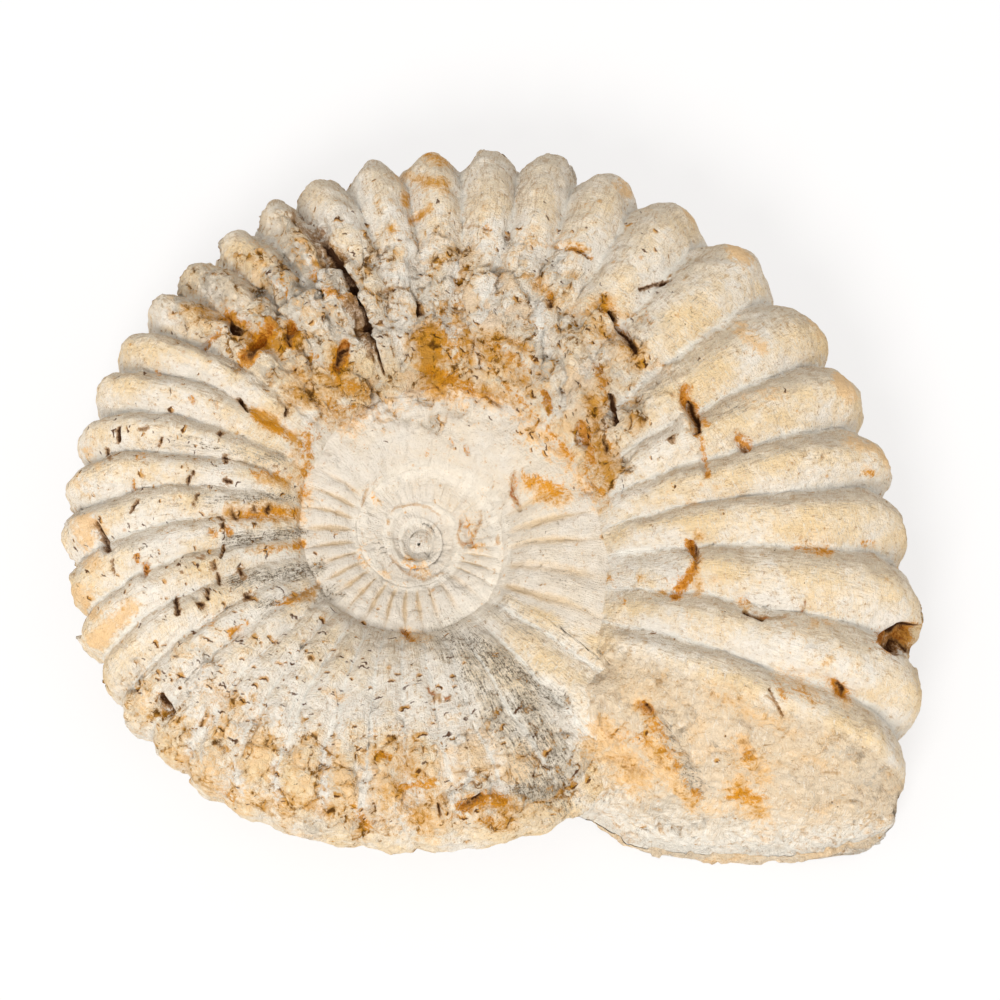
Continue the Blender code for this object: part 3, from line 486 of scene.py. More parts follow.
# Soft ochre staining.
OCHRE_STAIN = (
    (420, 180, 22, 6, 7, 0.9), (391, 228, 1, 2, 5, 1.1), (404, 199, 2, 3, 5, 0.9), (410, 220, 21, -12, 4, 1),
    (428, 326, 16, 16, 6, 0.9), (426, 352, 18, 7, 4, 1), (418, 363, 10, 13, 5, 0.9),
    (457, 316, 13, 47, 5, 0.7), (496, 334, 26, 13, 6, 0.8), (530, 243, 20, 3, 5, 0.8),
    (395, 790, 30, 25, 16, 0.7), (312, 262, 4, 2, 4, 0.9), (688, 504, 10, 1, 4, 0.7),
    (698, 533, 1, 1, 5, 0.9), (667, 490, 1, 1, 3.5, 0.8), (701, 484, 1, 1, 3.5, 0.8),
    (716, 485, 1, 1, 3.5, 0.8), (715, 579, 1, 1, 4.5, 0.9), (688, 617, 1, 1, 5, 0.9),
    (812, 624, 3, 1, 5, 0.8), (826, 625, 3, 1, 5, 0.8), (639, 579, 1, 1, 4.5, 0.8),
    (658, 591, 6, 3, 4.5, 0.8), (692, 572, 4, 20, 8, 0.8), (232, 512, 64, 4, 11, 0.9),
    (262, 482, 36, -4, 8, 0.8), (250, 550, 50, -4, 7, 0.7), (255, 412, 41, 28, 7, 1),
    (236, 400, 26, 16, 6, 0.5), (196, 310, 44, 6, 12, 0.6), (246, 330, 32, 16, 12, 0.9),
    (290, 326, 10, 20, 8, 0.8), (336, 350, 8, 22, 8, 0.8), (300, 374, 56, 16, 14, 0.6),
    (300, 400, 50, 20, 20, 0.6), (296, 450, 10, 50, 10, 0.6), (420, 340, 20, 46, 14, 0.9),
    (440, 386, 80, 14, 12, 0.7), (480, 340, 40, 40, 12, 0.6), (520, 400, 80, 100, 16, 0.5),
    (600, 330, 40, 30, 12, 0.6), (590, 400, 16, 80, 10, 0.8), (528, 484, 32, 16, 12, 0.8),
    (400, 300, 12, 10, 6, 0.4), (310, 600, 10, -16, 5, 0.9), (286, 604, 26, -8, 5, 0.7),
    (170, 396, 14, 4, 8, 0.3), (404, 176, 40, 14, 10, 0.6), (430, 156, 14, 4, 9, 0.8),
    (540, 286, 16, 18, 9, 0.6), (560, 240, 30, 12, 6, 0.7), (684, 392, 10, 32, 8, 0.6),
    (600, 300, 16, 16, 9, 0.6), (228, 630, 16, -6, 8, 0.6), (200, 690, 40, 10, 12, 0.4),
    (380, 756, 10, 2, 7, 0.8), (330, 690, 12, 4, 6, 0.6), (400, 760, 40, 40, 22, 0.55),
    (290, 800, 110, 30, 12, 0.5), (180, 770, 110, 42, 12, 0.5), (470, 806, 35, 0, 12, 0.8),
    (480, 822, 30, 2, 9, 0.6), (596, 732, 40, 44, 18, 0.5), (652, 748, 22, 26, 12, 0.65),
    (674, 778, 22, 28, 8, 0.7), (740, 746, 24, 30, 13, 0.55), (738, 790, 24, 22, 12, 0.75),
    (712, 690, 58, 30, 16, 0.35), (788, 676, 24, 22, 12, 0.6), (826, 680, 18, 22, 8, 0.8),
    (640, 706, 10, 14, 7, 0.7), (650, 728, 6, 8, 6, 0.6), (800, 545, 26, 5, 7, 0.7),
    (690, 544, 8, 14, 6, 0.8), (698, 560, -22, 36, 7, 0.75), (742, 600, 4, 6, 5, 0.8),
    (860, 540, 12, 4, 6, 0.6), (866, 470, 6, 4, 6, 0.6), (402, 632, 22, 8, 9, 0.6), (384, 572, 4, 4, 5, 0.5),
    (408, 562, 14, 10, 8, 0.6), (358, 552, 8, 14, 5, 0.4), (376, 494, 4, 8, 4, 0.5),
    (465, 516, 11, 30, 7, 0.45),
)
# The tan line round the coil's innermost turns, and other thin tan lines. Its thicker arc at the bottom,
# along the centre's raised edge, is partly painted shadow.
RINGS = (
    (388, 540, 1, -18, 2.2, 0.7), (389, 522, 8, -11, 2.2, 0.8), (397, 511, 15, -4, 2.2, 0.8),
    (412, 507, 18, 2, 2.2, 0.8), (430, 509, 10, 9, 2.2, 0.7), (440, 518, 5, 16, 1.8, 0.5),
    (436, 524, -12, 12, 2, 0.6), (424, 536, -6, 12, 2, 0.5), (390, 556, 14, 16, 3, 0.7),
    (404, 572, 20, 8, 3, 0.8), (424, 580, 22, -6, 2.6, 0.7), (365, 506, 4, -16, 2.2, 0.8),
    (369, 490, 9, -10, 2.2, 0.6), (363, 520, 1, 30, 2, 0.5), (460, 520, -2, 18, 2.2, 1),
    (458, 538, 5, 8, 2.4, 1), (463, 546, 9, -8, 2.2, 1), (472, 538, 6, -20, 2.2, 1),
    (478, 518, 0, -8, 2, 0.8), (355, 422, 11, -12, 2.2, 0.5), (366, 410, 34, -12, 2.2, 0.5),
    (400, 398, 70, -6, 2.2, 0.5), (492, 566, 2, 6, 2.5, 1), (496, 534, 2, 8, 2.2, 0.9),
    (748, 602, 6, 10, 2.2, 0.9), (754, 612, 14, 5, 2, 1.1), (768, 617, 16, 0, 1.8, 0.9),
    (784, 617, 14, -5, 1.8, 0.8), (798, 612, 6, -12, 2.2, 1.1), (750, 597, 10, -6, 1.6, 0.6),
    (760, 591, 30, 0, 1.5, 0.5), (763, 693, 14, 11, 1.7, 0.9), (777, 704, 5, 18, 1.8, 1),
    (805, 774, 39, -2, 1.6, 0.8), (730, 744, 20, 3, 1.7, 0.8), (750, 747, 16, 15, 1.7, 0.8),
    (455, 772, 45, -7, 2, 0.9), (407, 693, 0, 61, 1.8, 0.8), (427, 692, 13, 10, 2.4, 1.1),
    (440, 702, 16, -7, 2.4, 1.1), (384, 248, -8, 14, 2, 0.9), (379, 293, 13, -6, 1.8, 0.9),
    (392, 287, 18, 2, 1.8, 0.9), (455, 230, 13, -4, 1.8, 0.9), (468, 226, 20, 2, 1.8, 0.9),
    (340, 372, 32, 14, 2, 0.6), (290, 600, 30, -13, 3, 0.8), (804, 452, 12, -3, 2.2, 0.6),
    (816, 449, 10, 7, 2.2, 0.6), (826, 456, -14, 10, 2.2, 0.6), (812, 466, -8, -10, 2.2, 0.6),
    (846, 464, 10, -5, 1.5, 0.7), (180, 770, 70, 36, 2.2, 0.7), (250, 806, 62, 14, 2.2, 0.7),
    (738, 555, 8, -2, 2.2, 0.8), (744, 560, 6, 6, 2.2, 0.8), (750, 566, -10, 4, 2.2, 0.7),
    (746, 572, 6, 6, 2.2, 0.7), (778, 574, 7, 5, 2.2, 0.8), (514, 474, -5, 8, 2, 1),
    (509, 482, 0, 12, 2, 1.1), (509, 494, 7, 12, 2.2, 1.1),
)
# Where worm marks are thick, and where the surface is broken.
WORMY = (
    (130, 440, 130, 80, 60, 0.7), (130, 560, 130, 60, 60, 1), (200, 660, 220, 40, 60, 1.5),
    (420, 690, 140, 70, 40, 0.5), (220, 760, 250, 40, 36, 0.6), (260, 300, 100, 60, 60, 0.8),
    (400, 280, 200, 20, 90, 0.7), (520, 400, 80, 60, 50, 0.8), (380, 440, 120, 10, 26, 0.4),
    (580, 700, 60, 30, 20, 0.5), (110, 350, 90, -20, 40, 0.3),
)
WORN = (
    (300, 300, 45, 50, 70, 1), (380, 330, 100, 0, 80, 1), (520, 320, 70, 60, 66, 1),
    (590, 380, 10, 80, 26, 0.8), (470, 800, 70, 0, 26, 0.9), (300, 800, 150, 20, 26, 0.5),
    (196, 300, 134, 50, 34, 0.8),
)
WORN_SIDE = ((170, 720, 160, 70, 60, 0.8), (330, 790, 210, -20, 60, 1))
HOLLOWS += tuple(cut[:6] for cut in CUTS_WITH_DIRT_AND_SHADE)
DIRT_AND_SHADE += tuple(cut[:4] + cut[6:] for cut in CUTS_WITH_DIRT_AND_SHADE)

# Marks lie where a surface faces the camera by more than this cosine, give or take the fade.
VIEWED_FROM = 0.08
VIEWED_FADE = 0.12

# How marks fade out: from which share of the radius to which. Soft patches have no ragged edge. A mark is
# worked out within a number of radii. The hidden side has a little ochre and a few worm marks.
WORN_FADE = (0.55, 1.45)
HOLLOW_FADE = (0.4, 1.3)
KNOB_FADE = (0.4, 1.5)
WORMY_FADE = (0.3, 1.8)
SOFT_FADE = (0.0, 1.8)
STAINS_AND_SHADE = {
    "rust": (RUST, 0.0, 1.7),
    "dirt_and_shade": (DIRT_AND_SHADE, 0.2, 1.4),
    "ring": (RINGS, 0.2, 1.4),
    "ochre": (OCHRE_STAIN, 0.0, 1.8),
}
SOFT_PATCHES = {"grey": GREY, "peach": PEACH, "white": WHITE}
MARK_REACH = 2.2
RAGGED = 0.25
HIDDEN_OCHRE = 0.12
HIDDEN_WORMY = 0.25

# How much each place's wear counts. The mouth's stone is worn on top from soon after the last rib, and the
# hidden side where a noise is high. Broken places are made of plates of two sizes, whose outlines are warped.
# Flakes stand on the rest.
SIDE_WEAR = 0.7
MOUTH_WEAR = 0.55
MOUTH_WEAR_ACROSS = 1.5
MOUTH_WEAR_GROWTH = 6
HIDDEN_WEAR = 0.6
HIDDEN_WEAR_ABOVE = (0.10, 0.25)
WARP = 0.0016
SLAB_RELIEF = 0.0022
CHIP_RELIEF = 0.0012
SLAB_GAP = 0.0005
SLAB_GAP_WIDTH = 0.10
SLAB_TINT = 0.6
CHIP_TINT = 0.4
PLATE_SPREAD = 0.45
PLATE_LIFT = 0.3
FLAKE_HEIGHT = 0.00022
FLAKE_ABOVE = (0.10, 0.16)
HOLLOW_RAGGEDNESS = 0.5

# The surface's noises: feature size, seed, octaves and roughness. The reliefs have a height before these, and
# the last two are only in broken places.
RAGGED_NOISE = (0.0015, 40, 2)
BROAD_RAGGED_NOISE = (0.0045, 41)
HIDDEN_WEAR_NOISE = (0.03, 45)
WARP_NOISES = ((0.004, 50, 2), (0.004, 51, 2), (0.004, 52, 2))
FLAKE_NOISE = (0.0055, 35, 2, 0.4)
SLABS = (0.0115, 60)
CHIPS = (0.0056, 70)
FINE_RELIEF = (0.00036, (0.0050, 30, 2))
FINER_RELIEF = (0.00024, (0.0020, 31, 2, 0.6))
BROKEN_RELIEF = (0.0005, (0.0095, 32, 3, 0.6))
FINE_BROKEN_RELIEF = (0.0003, (0.0024, 33, 2, 0.6))


def seen_at(points):
    """Where points, from the coil's axis, appear in the picture, in pixels, and the way to the camera."""
    tilt = math.radians(CAMERA_ELEVATION)
    back = np.array((0, -math.cos(tilt), math.sin(tilt)))
    up = np.array((0, math.sin(tilt), math.cos(tilt)))
    offset = points - np.array(TARGET)
    scale = FOCAL_PIXELS / (CAMERA_DISTANCE - offset @ back)
    middle = PICTURE_PIXELS / 2
    return np.stack([middle + scale * offset[:, 0], middle - scale * (offset @ up)], -1), back


def marked(table, place, wobble, inside, outside):
    """The strength of a table's marks at places in the picture. It falls off between two shares of the
    radius, which the wobble shifts."""
    total = np.zeros(len(place))
    for x, y, right, down, radius, strength in table:
        start = np.array((x, y), float)
        along = np.array((right, down), float)
        off_middle = np.abs(place - (start + along / 2))
        near = np.flatnonzero((off_middle < np.abs(along) / 2 + MARK_REACH * radius).all(1))
        offset = place[near] - start
        share = np.clip(offset @ along / (along @ along), 0, 1)
        distance = np.linalg.norm(offset - share[:, None] * along, axis=1) / radius + wobble[near]
        total[near] = np.maximum(total[near], strength * (1 - smooth(inside, outside, distance)))
    return total


def grid_surface():
    """The smooth surface as a grid from the coil's centre to the broken front edge, and its places."""
    ribs, across = grid_places()
    part = np.arange(1, MOUTH_COLUMNS + 1) / MOUTH_COLUMNS
    coil, crest = joined(ribs[:, None], across[None])
    coil[..., 2] += seam_fill(ribs[:, None], across[None])[1]
    points = np.concatenate([coil, mouth_points(part, across, coil[-1])])
    crest = np.concatenate([crest, np.repeat(crest[-1:], MOUTH_COLUMNS, 0) * (1 - part[:, None])])
    last = np.concatenate([0 * ribs, part])[:, None] + 0 * across
    around = np.concatenate([ribs, ribs[-1] + MOUTH_AROUND * part])[:, None] + 0 * across
    return points, crest, around, 0 * around + across, last


def grid_normals(points):
    """The outward direction at each point of a grid."""
    normals = np.cross(np.gradient(points, axis=0), np.gradient(points, axis=1))
    return normals / np.maximum(np.linalg.norm(normals, axis=-1, keepdims=True), 1e-12)


def lumps(points):
    """The worn surface's broad lumps, as a push in any direction."""
    pushes = np.zeros_like(points)
    for size, height in LUMPS:
        for axis, (east, north, up) in enumerate(LUMP_SHIFTS):
            moved = points / size + (east, north, up)
            pushes[:, axis] += height * np.array([smooth_noise(place) for place in moved.tolist()])
    return pushes


def seam_fill(ribs, across):
    """How far across the stone that fills the inner turns' seams a place is, from 0 beyond it to 1 at the
    seam, and how far the fill raises it, or lowers it on the underside."""
    from_edge = np.minimum(across, 2 - across)
    own = np.clip(1 - from_edge / SEAM_FILL_OUTWARDS, 0, 1)
    earlier = np.clip(1 - np.abs(from_edge - NEXT_TURN_ACROSS) / SEAM_FILL_INWARDS, 0, 1) * (ribs < 0)
    own_height = np.interp(ribs, *zip(*SEAM_FILL))
    earlier_height = np.interp(ribs + RIBS_PER_TURN, *zip(*SEAM_FILL))
    height = np.maximum(own_height * smooth(0, 1, own), earlier_height * smooth(0, 1, earlier))
    shown = np.maximum(own * (own_height > 0), earlier * (earlier_height > 0))
    return shown, height * np.where(across > 1, -1, 1)


def plates(points, size, seed):
    """Broken plates of stone of a size: at each point, how high its tilted plate stands there, about -0.5 to
    0.5, how far away the plate's edge is, as a share of the size, and the plate's tint from -1 to 1."""
    scaled = points / size
    cell = np.floor(scaled).astype(np.int64)
    first = np.full(len(points), 9.0)
    second = first.copy()
    height = np.zeros(len(points))
    tint = np.zeros(len(points))
    for corner in range(27):
        step = np.array([corner % 3 - 1, corner // 3 % 3 - 1, corner // 9 - 1])
        near = np.moveaxis(cell + step, -1, 0)
        middle = np.stack([lattice(*near, seed + axis) for axis in range(3)], -1)
        offset = scaled - (cell + step + 0.5 + PLATE_SPREAD * middle)
        distance = np.linalg.norm(offset, axis=1)
        tilt = np.stack([lattice(*near, seed + 3 + axis) for axis in range(3)], -1)
        closer = distance < first
        second = np.where(closer, first, np.minimum(second, distance))
        height = np.where(closer, (tilt * offset).sum(1) + PLATE_LIFT * tilt[:, 0], height)
        tint = np.where(closer, lattice(*near, seed + 6), tint)
        first = np.where(closer, distance, first)
    return height, second - first, tint


def relief(points, kind):
    height, look = kind
    return height * noise(points, *look)


def weathered(points, normals, crest, last, across):
    """The surface after wear, with its hollows and knobs, and its marks. All arrays are flat lists."""
    place, to_camera = seen_at(points)
    seen = smooth(VIEWED_FROM - VIEWED_FADE, VIEWED_FROM + VIEWED_FADE, normals @ to_camera)
    wobble = RAGGED * noise(points, *RAGGED_NOISE) + RAGGED * noise(points, *BROAD_RAGGED_NOISE)
    calm = np.zeros(len(points))
    worn, worn_side = (marked(table, place, wobble, *WORN_FADE) * seen for table in (WORN, WORN_SIDE))
    mouth_stone = np.clip(last * MOUTH_WEAR_GROWTH, 0, 1) * (across < MOUTH_WEAR_ACROSS)
    hidden_wear = HIDDEN_WEAR * smooth(*HIDDEN_WEAR_ABOVE, noise(points, *HIDDEN_WEAR_NOISE)) * (1 - seen)
    rough = np.maximum.reduce([worn, SIDE_WEAR * worn_side, MOUTH_WEAR * mouth_stone, hidden_wear])
    hollow = marked(HOLLOWS, place, HOLLOW_RAGGEDNESS * wobble, *HOLLOW_FADE) * seen
    knob = marked(KNOBS, place, wobble, *KNOB_FADE) * seen

    moved = points + lumps(points)
    warped = points + WARP * np.stack([noise(points, *look) for look in WARP_NOISES], -1)
    slab, slab_edge, slab_tint = plates(warped, *SLABS)
    chip, chip_edge, chip_tint = plates(warped, *CHIPS)
    out = relief(points, FINE_RELIEF) + relief(points, FINER_RELIEF)
    out += rough * (
        relief(points, BROKEN_RELIEF)
        + SLAB_RELIEF * slab
        + CHIP_RELIEF * chip
        + relief(points, FINE_BROKEN_RELIEF)
        - SLAB_GAP * np.clip(1 - slab_edge / SLAB_GAP_WIDTH, 0, 1)
    )
    out += FLAKE_HEIGHT * (1 - rough) * smooth(*FLAKE_ABOVE, noise(points, *FLAKE_NOISE))
    out += 0.001 * (knob - hollow)
    moved += normals * out[:, None]
    moved[:, 2] = np.maximum(moved[:, 2], 0)
    marks = {name: marked(table, place, wobble, *fade) * seen for name, (table, *fade) in STAINS_AND_SHADE.items()}
    marks["ochre"] += HIDDEN_OCHRE * (1 - seen)
    for name, table in SOFT_PATCHES.items():
        marks[name] = marked(table, place, calm, *SOFT_FADE) * seen
    marks |= {
        "slab": slab_edge,
        "chip": chip_edge,
        "tint": SLAB_TINT * slab_tint + CHIP_TINT * chip_tint,
        "crest": crest,
        "rough": rough,
        "north": normals[:, 1],
        "mouth": mouth_stone,
        "wormy": np.where(seen > 0.5, marked(WORMY, place, calm, *WORMY_FADE), HIDDEN_WORMY),
    }
    return moved, marks


def stone_mesh(points, faces, marks):
    """A mesh from a grid's points, its quads and the marks at each point, leaving out unused points."""
    used, index = np.unique(faces, return_inverse=True)
    corners = index.reshape(-1).astype(np.int32)
    mesh = bpy.data.meshes.new("dense")
    mesh.vertices.add(len(used))
    mesh.vertices.foreach_set("co", points[used].astype(np.float32).ravel())
    mesh.loops.add(len(corners))
    mesh.loops.foreach_set("vertex_index", corners)
    mesh.polygons.add(len(corners) // 4)
    mesh.polygons.foreach_set("loop_start", np.arange(0, len(corners), 4, dtype=np.int32))
    mesh.update(calc_edges=True)
    mesh.validate()
    for name, values in marks.items():
        layer = mesh.attributes.new(name, "FLOAT", "POINT")
        layer.data.foreach_set("value", values[used].astype(np.float32))
    return mesh


def quads_of(shape, shown, first=0):
    """The corners of a grid's quads, for the quads that are shown."""
    columns, rows = np.nonzero(shown)
    corner = first + columns * shape[1] + rows
    after = corner + shape[1]
    return np.stack([corner, after, after + 1, corner + 1], -1)


def centre_knob(side):
    """The low knob that the coil starts from, on the upper (side 1) or lower (side -1) face."""
    turns = np.linspace(0, 2 * math.pi, KNOB_COLUMNS)
    turn, radius = np.meshgrid(turns, np.linspace(KNOB_RADIUS, 0.0, KNOB_ROWS), indexing="ij")
    height = KNOB_HEIGHT - KNOB_FALL * (radius / KNOB_RADIUS) ** 2
    east, north = radius * np.cos(turn), -radius * np.sin(turn)
    level = MID_HEIGHT + MID_RISE[0] * east + MID_RISE[1] * north
    return np.stack([east, north, level + side * height], -1)[:, ::-side]


def front_lip(front, across):
    """The broken front face, from the underside's edge up to the top's."""
    top_rows = across <= 1.0001
    low = np.stack([np.interp(2 - across[top_rows], across, front[:, k]) for k in range(3)], -1)
    rise = np.linspace(0, 1, LIP_ROWS)[None, :, None]
    return low[:, None] + (front[top_rows] - low)[:, None] * rise


def flat(main, *others):
    """One flat list of a grid's values and of other grids' values."""
    return np.concatenate([grid.reshape(-1, *grid.shape[2:]) for grid in (main, *others)])


def sink_edges(grid, around):
    """Runs each turn's edges on a little way into the turn before it, so no gap shows where they meet."""
    starts = around[:, 0] > -(INNER_TURNS + 1) * RIBS_PER_TURN
    for row, rise in ((0, -1), (-1, 1)):
        radius = np.maximum(np.hypot(grid[:, row, 0], grid[:, row, 1]), 1e-6)
        inwards = grid[:, row, :2] / radius[:, None]
        way = np.minimum(SINK_INWARDS, MOST_INWARDS_SHARE * radius) * starts
        grid[:, row, :2] -= way[:, None] * inwards
        grid[:, row, 2] += rise * SINK * starts


def thinned(mesh):
    """The mesh brought down to the number of triangles that it may have, standing on the ground."""
    dense = bpy.data.objects.new("dense", mesh)
    bpy.context.scene.collection.objects.link(dense)
    decimate = dense.modifiers.new("thinned", "DECIMATE")
    decimate.ratio = TRIANGLES / (2 * len(mesh.polygons))
    decimate.use_collapse_triangulate = True
    bpy.context.view_layer.update()
    mesh = bpy.data.meshes.new_from_object(dense.evaluated_get(bpy.context.evaluated_depsgraph_get()))
    bpy.data.objects.remove(dense)
    for vertex in mesh.vertices:
        vertex.co.z = max(vertex.co.z, 0.0)
    mesh.shade_smooth()
    return mesh


def build_ammonite():
    points, crest, around, across, last = grid_surface()
    angle = tip_angle(np.minimum(around, RIBS_PER_TURN))
    step = np.radians(np.gradient(angle[:, 0])) * MM * curve(OUTER_RADIUS, angle[:, 0])
    step = np.where(last[:, 0] > 0, MOUTH_STEP_MM, step)
    rim_length = np.cumsum(step)[:, None] + 0 * across
    rows = np.linalg.norm(np.diff(points, axis=1), axis=-1) * MM
    row_length = np.concatenate([0 * rows[:, :1], np.cumsum(rows, axis=1)], 1)
    hidden = (across > COVERED_ROWS[0]) & (across < COVERED_ROWS[1]) & (around < 0)
    faces = quads_of(points.shape, ~hidden[:-1, :-1])

    # The front face and the centre's knobs follow the main grid in each list.
    extras = [front_lip(points[-1], across[0]), centre_knob(1), centre_knob(-1)]
    first = points.size // 3
    for extra in extras:
        shown = np.ones((extra.shape[0] - 1, extra.shape[1] - 1), bool)
        faces = np.concatenate([faces, quads_of(extra.shape, shown, first)])
        first += extra.size // 3
    blanks = [0 * extra[..., 0] for extra in extras]
    moved, marks = weathered(
        flat(points, *extras),
        flat(grid_normals(points), *map(grid_normals, extras)),
        flat(crest, *(blank + EXTRA_CREST for blank in blanks)),
        flat(last, blanks[0] + 1, *blanks[1:]),
        flat(across, *(blank + EXTRA_ACROSS for blank in blanks)),
    )
    shown = np.where(last > 0, 0, seam_fill(around, across)[0])
    marks["inner"] = flat(1.0 * (around < 0), *blanks)
    marks["fill"] = flat(shown, *blanks)
    marks["around"] = flat(rim_length, *(MM * extra[..., 0] for extra in extras))
    marks["along"] = flat(row_length, *(MM * (extra[..., 1] + extra[..., 2]) for extra in extras))

    sink_edges(moved[: around.size].reshape(points.shape), around)
    moved[:, :2] += AXIS_AT
    moved[:, 2] = np.maximum(moved[:, 2], 0)
    ammonite = bpy.data.objects.new("ammonite_stone", thinned(stone_mesh(moved, faces, marks)))
    bpy.context.scene.collection.objects.link(ammonite)
    return ammonite


class Graph:
    """Adds nodes to a material, links them, and lays colours over one another."""

    def __init__(self, material, colour):
        material.use_nodes = True
        self.tree = material.node_tree
        self.shader = self.tree.nodes["Principled BSDF"]
        self.colour = colour

    def node(self, kind, inputs, **settings):
        made = self.tree.nodes.new(kind)
        for key, value in settings.items():
            setattr(made, key, value)
        for key, value in inputs.items():
            self.give(made.inputs[key], value)
        return made

    def give(self, socket, value):
        if isinstance(value, bpy.types.NodeSocket):
            self.tree.links.new(value, socket)
        else:
            socket.default_value = value

    def math(self, operation, a, b):
        return self.node("ShaderNodeMath", {0: a, 1: b}, operation=operation).outputs[0]

    def times(self, *factors):
        product = factors[0]
        for factor in factors[1:]:
            product = self.math("MULTIPLY", product, factor)
        return product

    def rest(self, value):
        """What a value leaves of 1."""
        return self.math("SUBTRACT", 1.0, value)

    def total(self, *terms):
        """The sum of terms, each a value or a (value, weight)."""
        added = None
        for term in terms:
            if isinstance(term, tuple):
                term = self.times(*term)
            added = term if added is None else self.math("ADD", added, term)
        return added

    def attributes(self, *names):
        return [self.node("ShaderNodeAttribute", {}, attribute_name=name).outputs["Fac"] for name in names]

    def noise(self, vector, size, detail=2.0, roughness=0.5, distortion=0.0):
        """Noise from -0.5 to 0.5 with features of a size, in the vector's unit."""
        inputs = {"Vector": vector, "Scale": 1 / size, "Detail": detail, "Roughness": roughness}
        made = self.node("ShaderNodeTexNoise", {**inputs, "Distortion": distortion})
        return self.math("SUBTRACT", made.outputs["Fac"], 0.5)

    def step(self, value, low, high):
        """0 below low, 1 above high, and smooth between them."""
        inputs = {"Value": value, "From Min": low, "From Max": high}
        return self.node("ShaderNodeMapRange", inputs, interpolation_type="SMOOTHSTEP").outputs["Result"]

    def band(self, value, middle, width):
        """1 where a value is at the middle, falling to 0 at the width from it."""
        off = self.math("ABSOLUTE", self.math("SUBTRACT", value, middle), 0.0)
        return self.rest(self.step(off, 0.3 * width, width))

    def vector(self, operation, *inputs):
        return self.node("ShaderNodeVectorMath", dict(enumerate(inputs)), operation=operation).outputs

    def combined(self, x, y, z):
        return self.node("ShaderNodeCombineXYZ", {0: x, 1: y, 2: z}).outputs[0]

    def slits(self, place, across, curl, share, cell, reach, width):
        """Short curved cuts across a direction, one in a share of the cells: the cuts, the stains beside some
        of them, and round spots in a few of the other cells."""
        cells = self.node("ShaderNodeTexVoronoi", {"Vector": place, "Scale": 1 / cell}).outputs
        local = self.vector("SUBTRACT", place, cells["Position"])[0]
        tilt = self.vector("SUBTRACT", cells["Color"], (0.5, 0.5, 0.5))[0]
        axis = self.vector("NORMALIZE", self.vector("ADD", across, tilt)[0])[0]
        off = self.total(self.vector("DOT_PRODUCT", local, axis)["Value"], curl)
        length = self.vector("LENGTH", local)["Value"]
        chance = self.node("ShaderNodeSeparateXYZ", {0: cells["Color"]}).outputs
        active = self.math("GREATER_THAN", share, chance[0])
        longer = self.times(self.total(SLIT_SHORTEST, chance[1]), reach)
        shortened = self.math("DIVIDE", length, longer)
        ends = self.rest(self.step(shortened, *SLIT_TAPER))
        slim = self.math("DIVIDE", off, self.total(SLIT_END_WIDTH, ends))
        cut = self.times(self.band(slim, 0.0, width), ends, active)
        wide = self.rest(self.step(shortened, *SLIT_STAIN_TAPER))
        stained = self.times(active, self.math("GREATER_THAN", chance[2], SLIT_CLEAN_SHARE))
        stain = self.times(self.band(off, SLIT_STAIN_OFF * width, SLIT_STAIN_WIDTH * width), wide, stained)
        spotted = self.math("GREATER_THAN", chance[0], SPOTLESS_SHARE)
        return cut, stain, self.times(self.rest(self.step(shortened, *SPOT_FADE)), spotted)

    def paint(self, colour, *shares):
        """Lays a colour over the present one by the product of some shares."""
        made = self.node("ShaderNodeMix", {"Factor": self.times(*shares)}, data_type="RGBA")
        for socket, value in ((made.inputs[6], self.colour), (made.inputs[7], colour)):
            self.give(socket, (*value, 1.0) if isinstance(value, tuple) else value)
        self.colour = made.outputs[2]

    def coat(self, colour, low, high, terms, *shares):
        """Paints by some shares where a sum rises from low to high."""
        self.paint(colour, self.step(self.total(*terms), low, high), *shares)


# The stone's colours, linear. Some of them also serve in places as painted shade, and the seams' pale stone
# as painted light.
CREAM = (0.91, 0.68, 0.385)
WHITE_STONE = (0.92, 0.84, 0.725)
VEIN = (0.93, 0.88, 0.78)
BEIGE = (0.80, 0.63, 0.43)
DUST_AND_SHADE = (0.72, 0.63, 0.50)
GREY_STONE_AND_SHADE = (0.51, 0.44, 0.345)
DARK_GREY = (0.095, 0.066, 0.036)
TAN = (0.50, 0.29, 0.115)
PEACH_STONE = (0.90, 0.60, 0.31)
OCHRE = (0.64, 0.28, 0.014)
RUST_STONE = (0.40, 0.105, 0.004)
ORANGE = (0.72, 0.29, 0.012)
HALO = (0.40, 0.20, 0.065)
BROWN = (0.048, 0.013, 0.0015)
SLIT_BROWN = (0.095, 0.030, 0.005)
PETAL_GROOVE = (0.60, 0.44, 0.26)
PETAL = (0.74, 0.71, 0.65)
CENTRE_STONE = (0.70, 0.555, 0.395)
SEAM_STONE_AND_LIGHT = (0.77, 0.705, 0.60)

# The stone's noises: feature size in millimetres, detail, roughness and distortion. Fibres run along the ribs
# and growth lines across them, so each is stretched the other way.
BROAD = (15, 3)
PATCH = (5.5, 5, 0.62, 0.3)
MOTTLE = (1.9, 5, 0.70, 0.6)
SPECK = (0.70, 3, 0.7)
GRAIN = (0.34, 3, 0.7)
BEND = (1.5, 2)
THREAD = (3.0, 4, 0.6, 1.2)
FIBRE = (0.55, 5, 0.68, 0.5)
FIBRE_STRETCH = 0.14
FIBRE_CREST_SHIFT = 0.8
GROWTH = (0.42, 3, 0.6, 0.2)
GROWTH_STRETCH = 0.16

# Broken plates' tints: from one tint to another, strength and colour. Their edges' widths are shares of the
# plate's size: an ochre edge of rust, and a brown edge that is partly rust and partly painted shadow under
# the plates' ledges.
PLATE_TINTS = (
    (0.15, 0.45, 0.55, DUST_AND_SHADE),
    (0.50, 0.65, 0.50, GREY_STONE_AND_SHADE),
    (-0.20, -0.45, 0.50, PEACH_STONE),
)
PLATE_EDGES = (("slab", 0.060), ("chip", 0.075))
OCHRE_EDGE = 2.6
BROWN_EDGE = 0.2

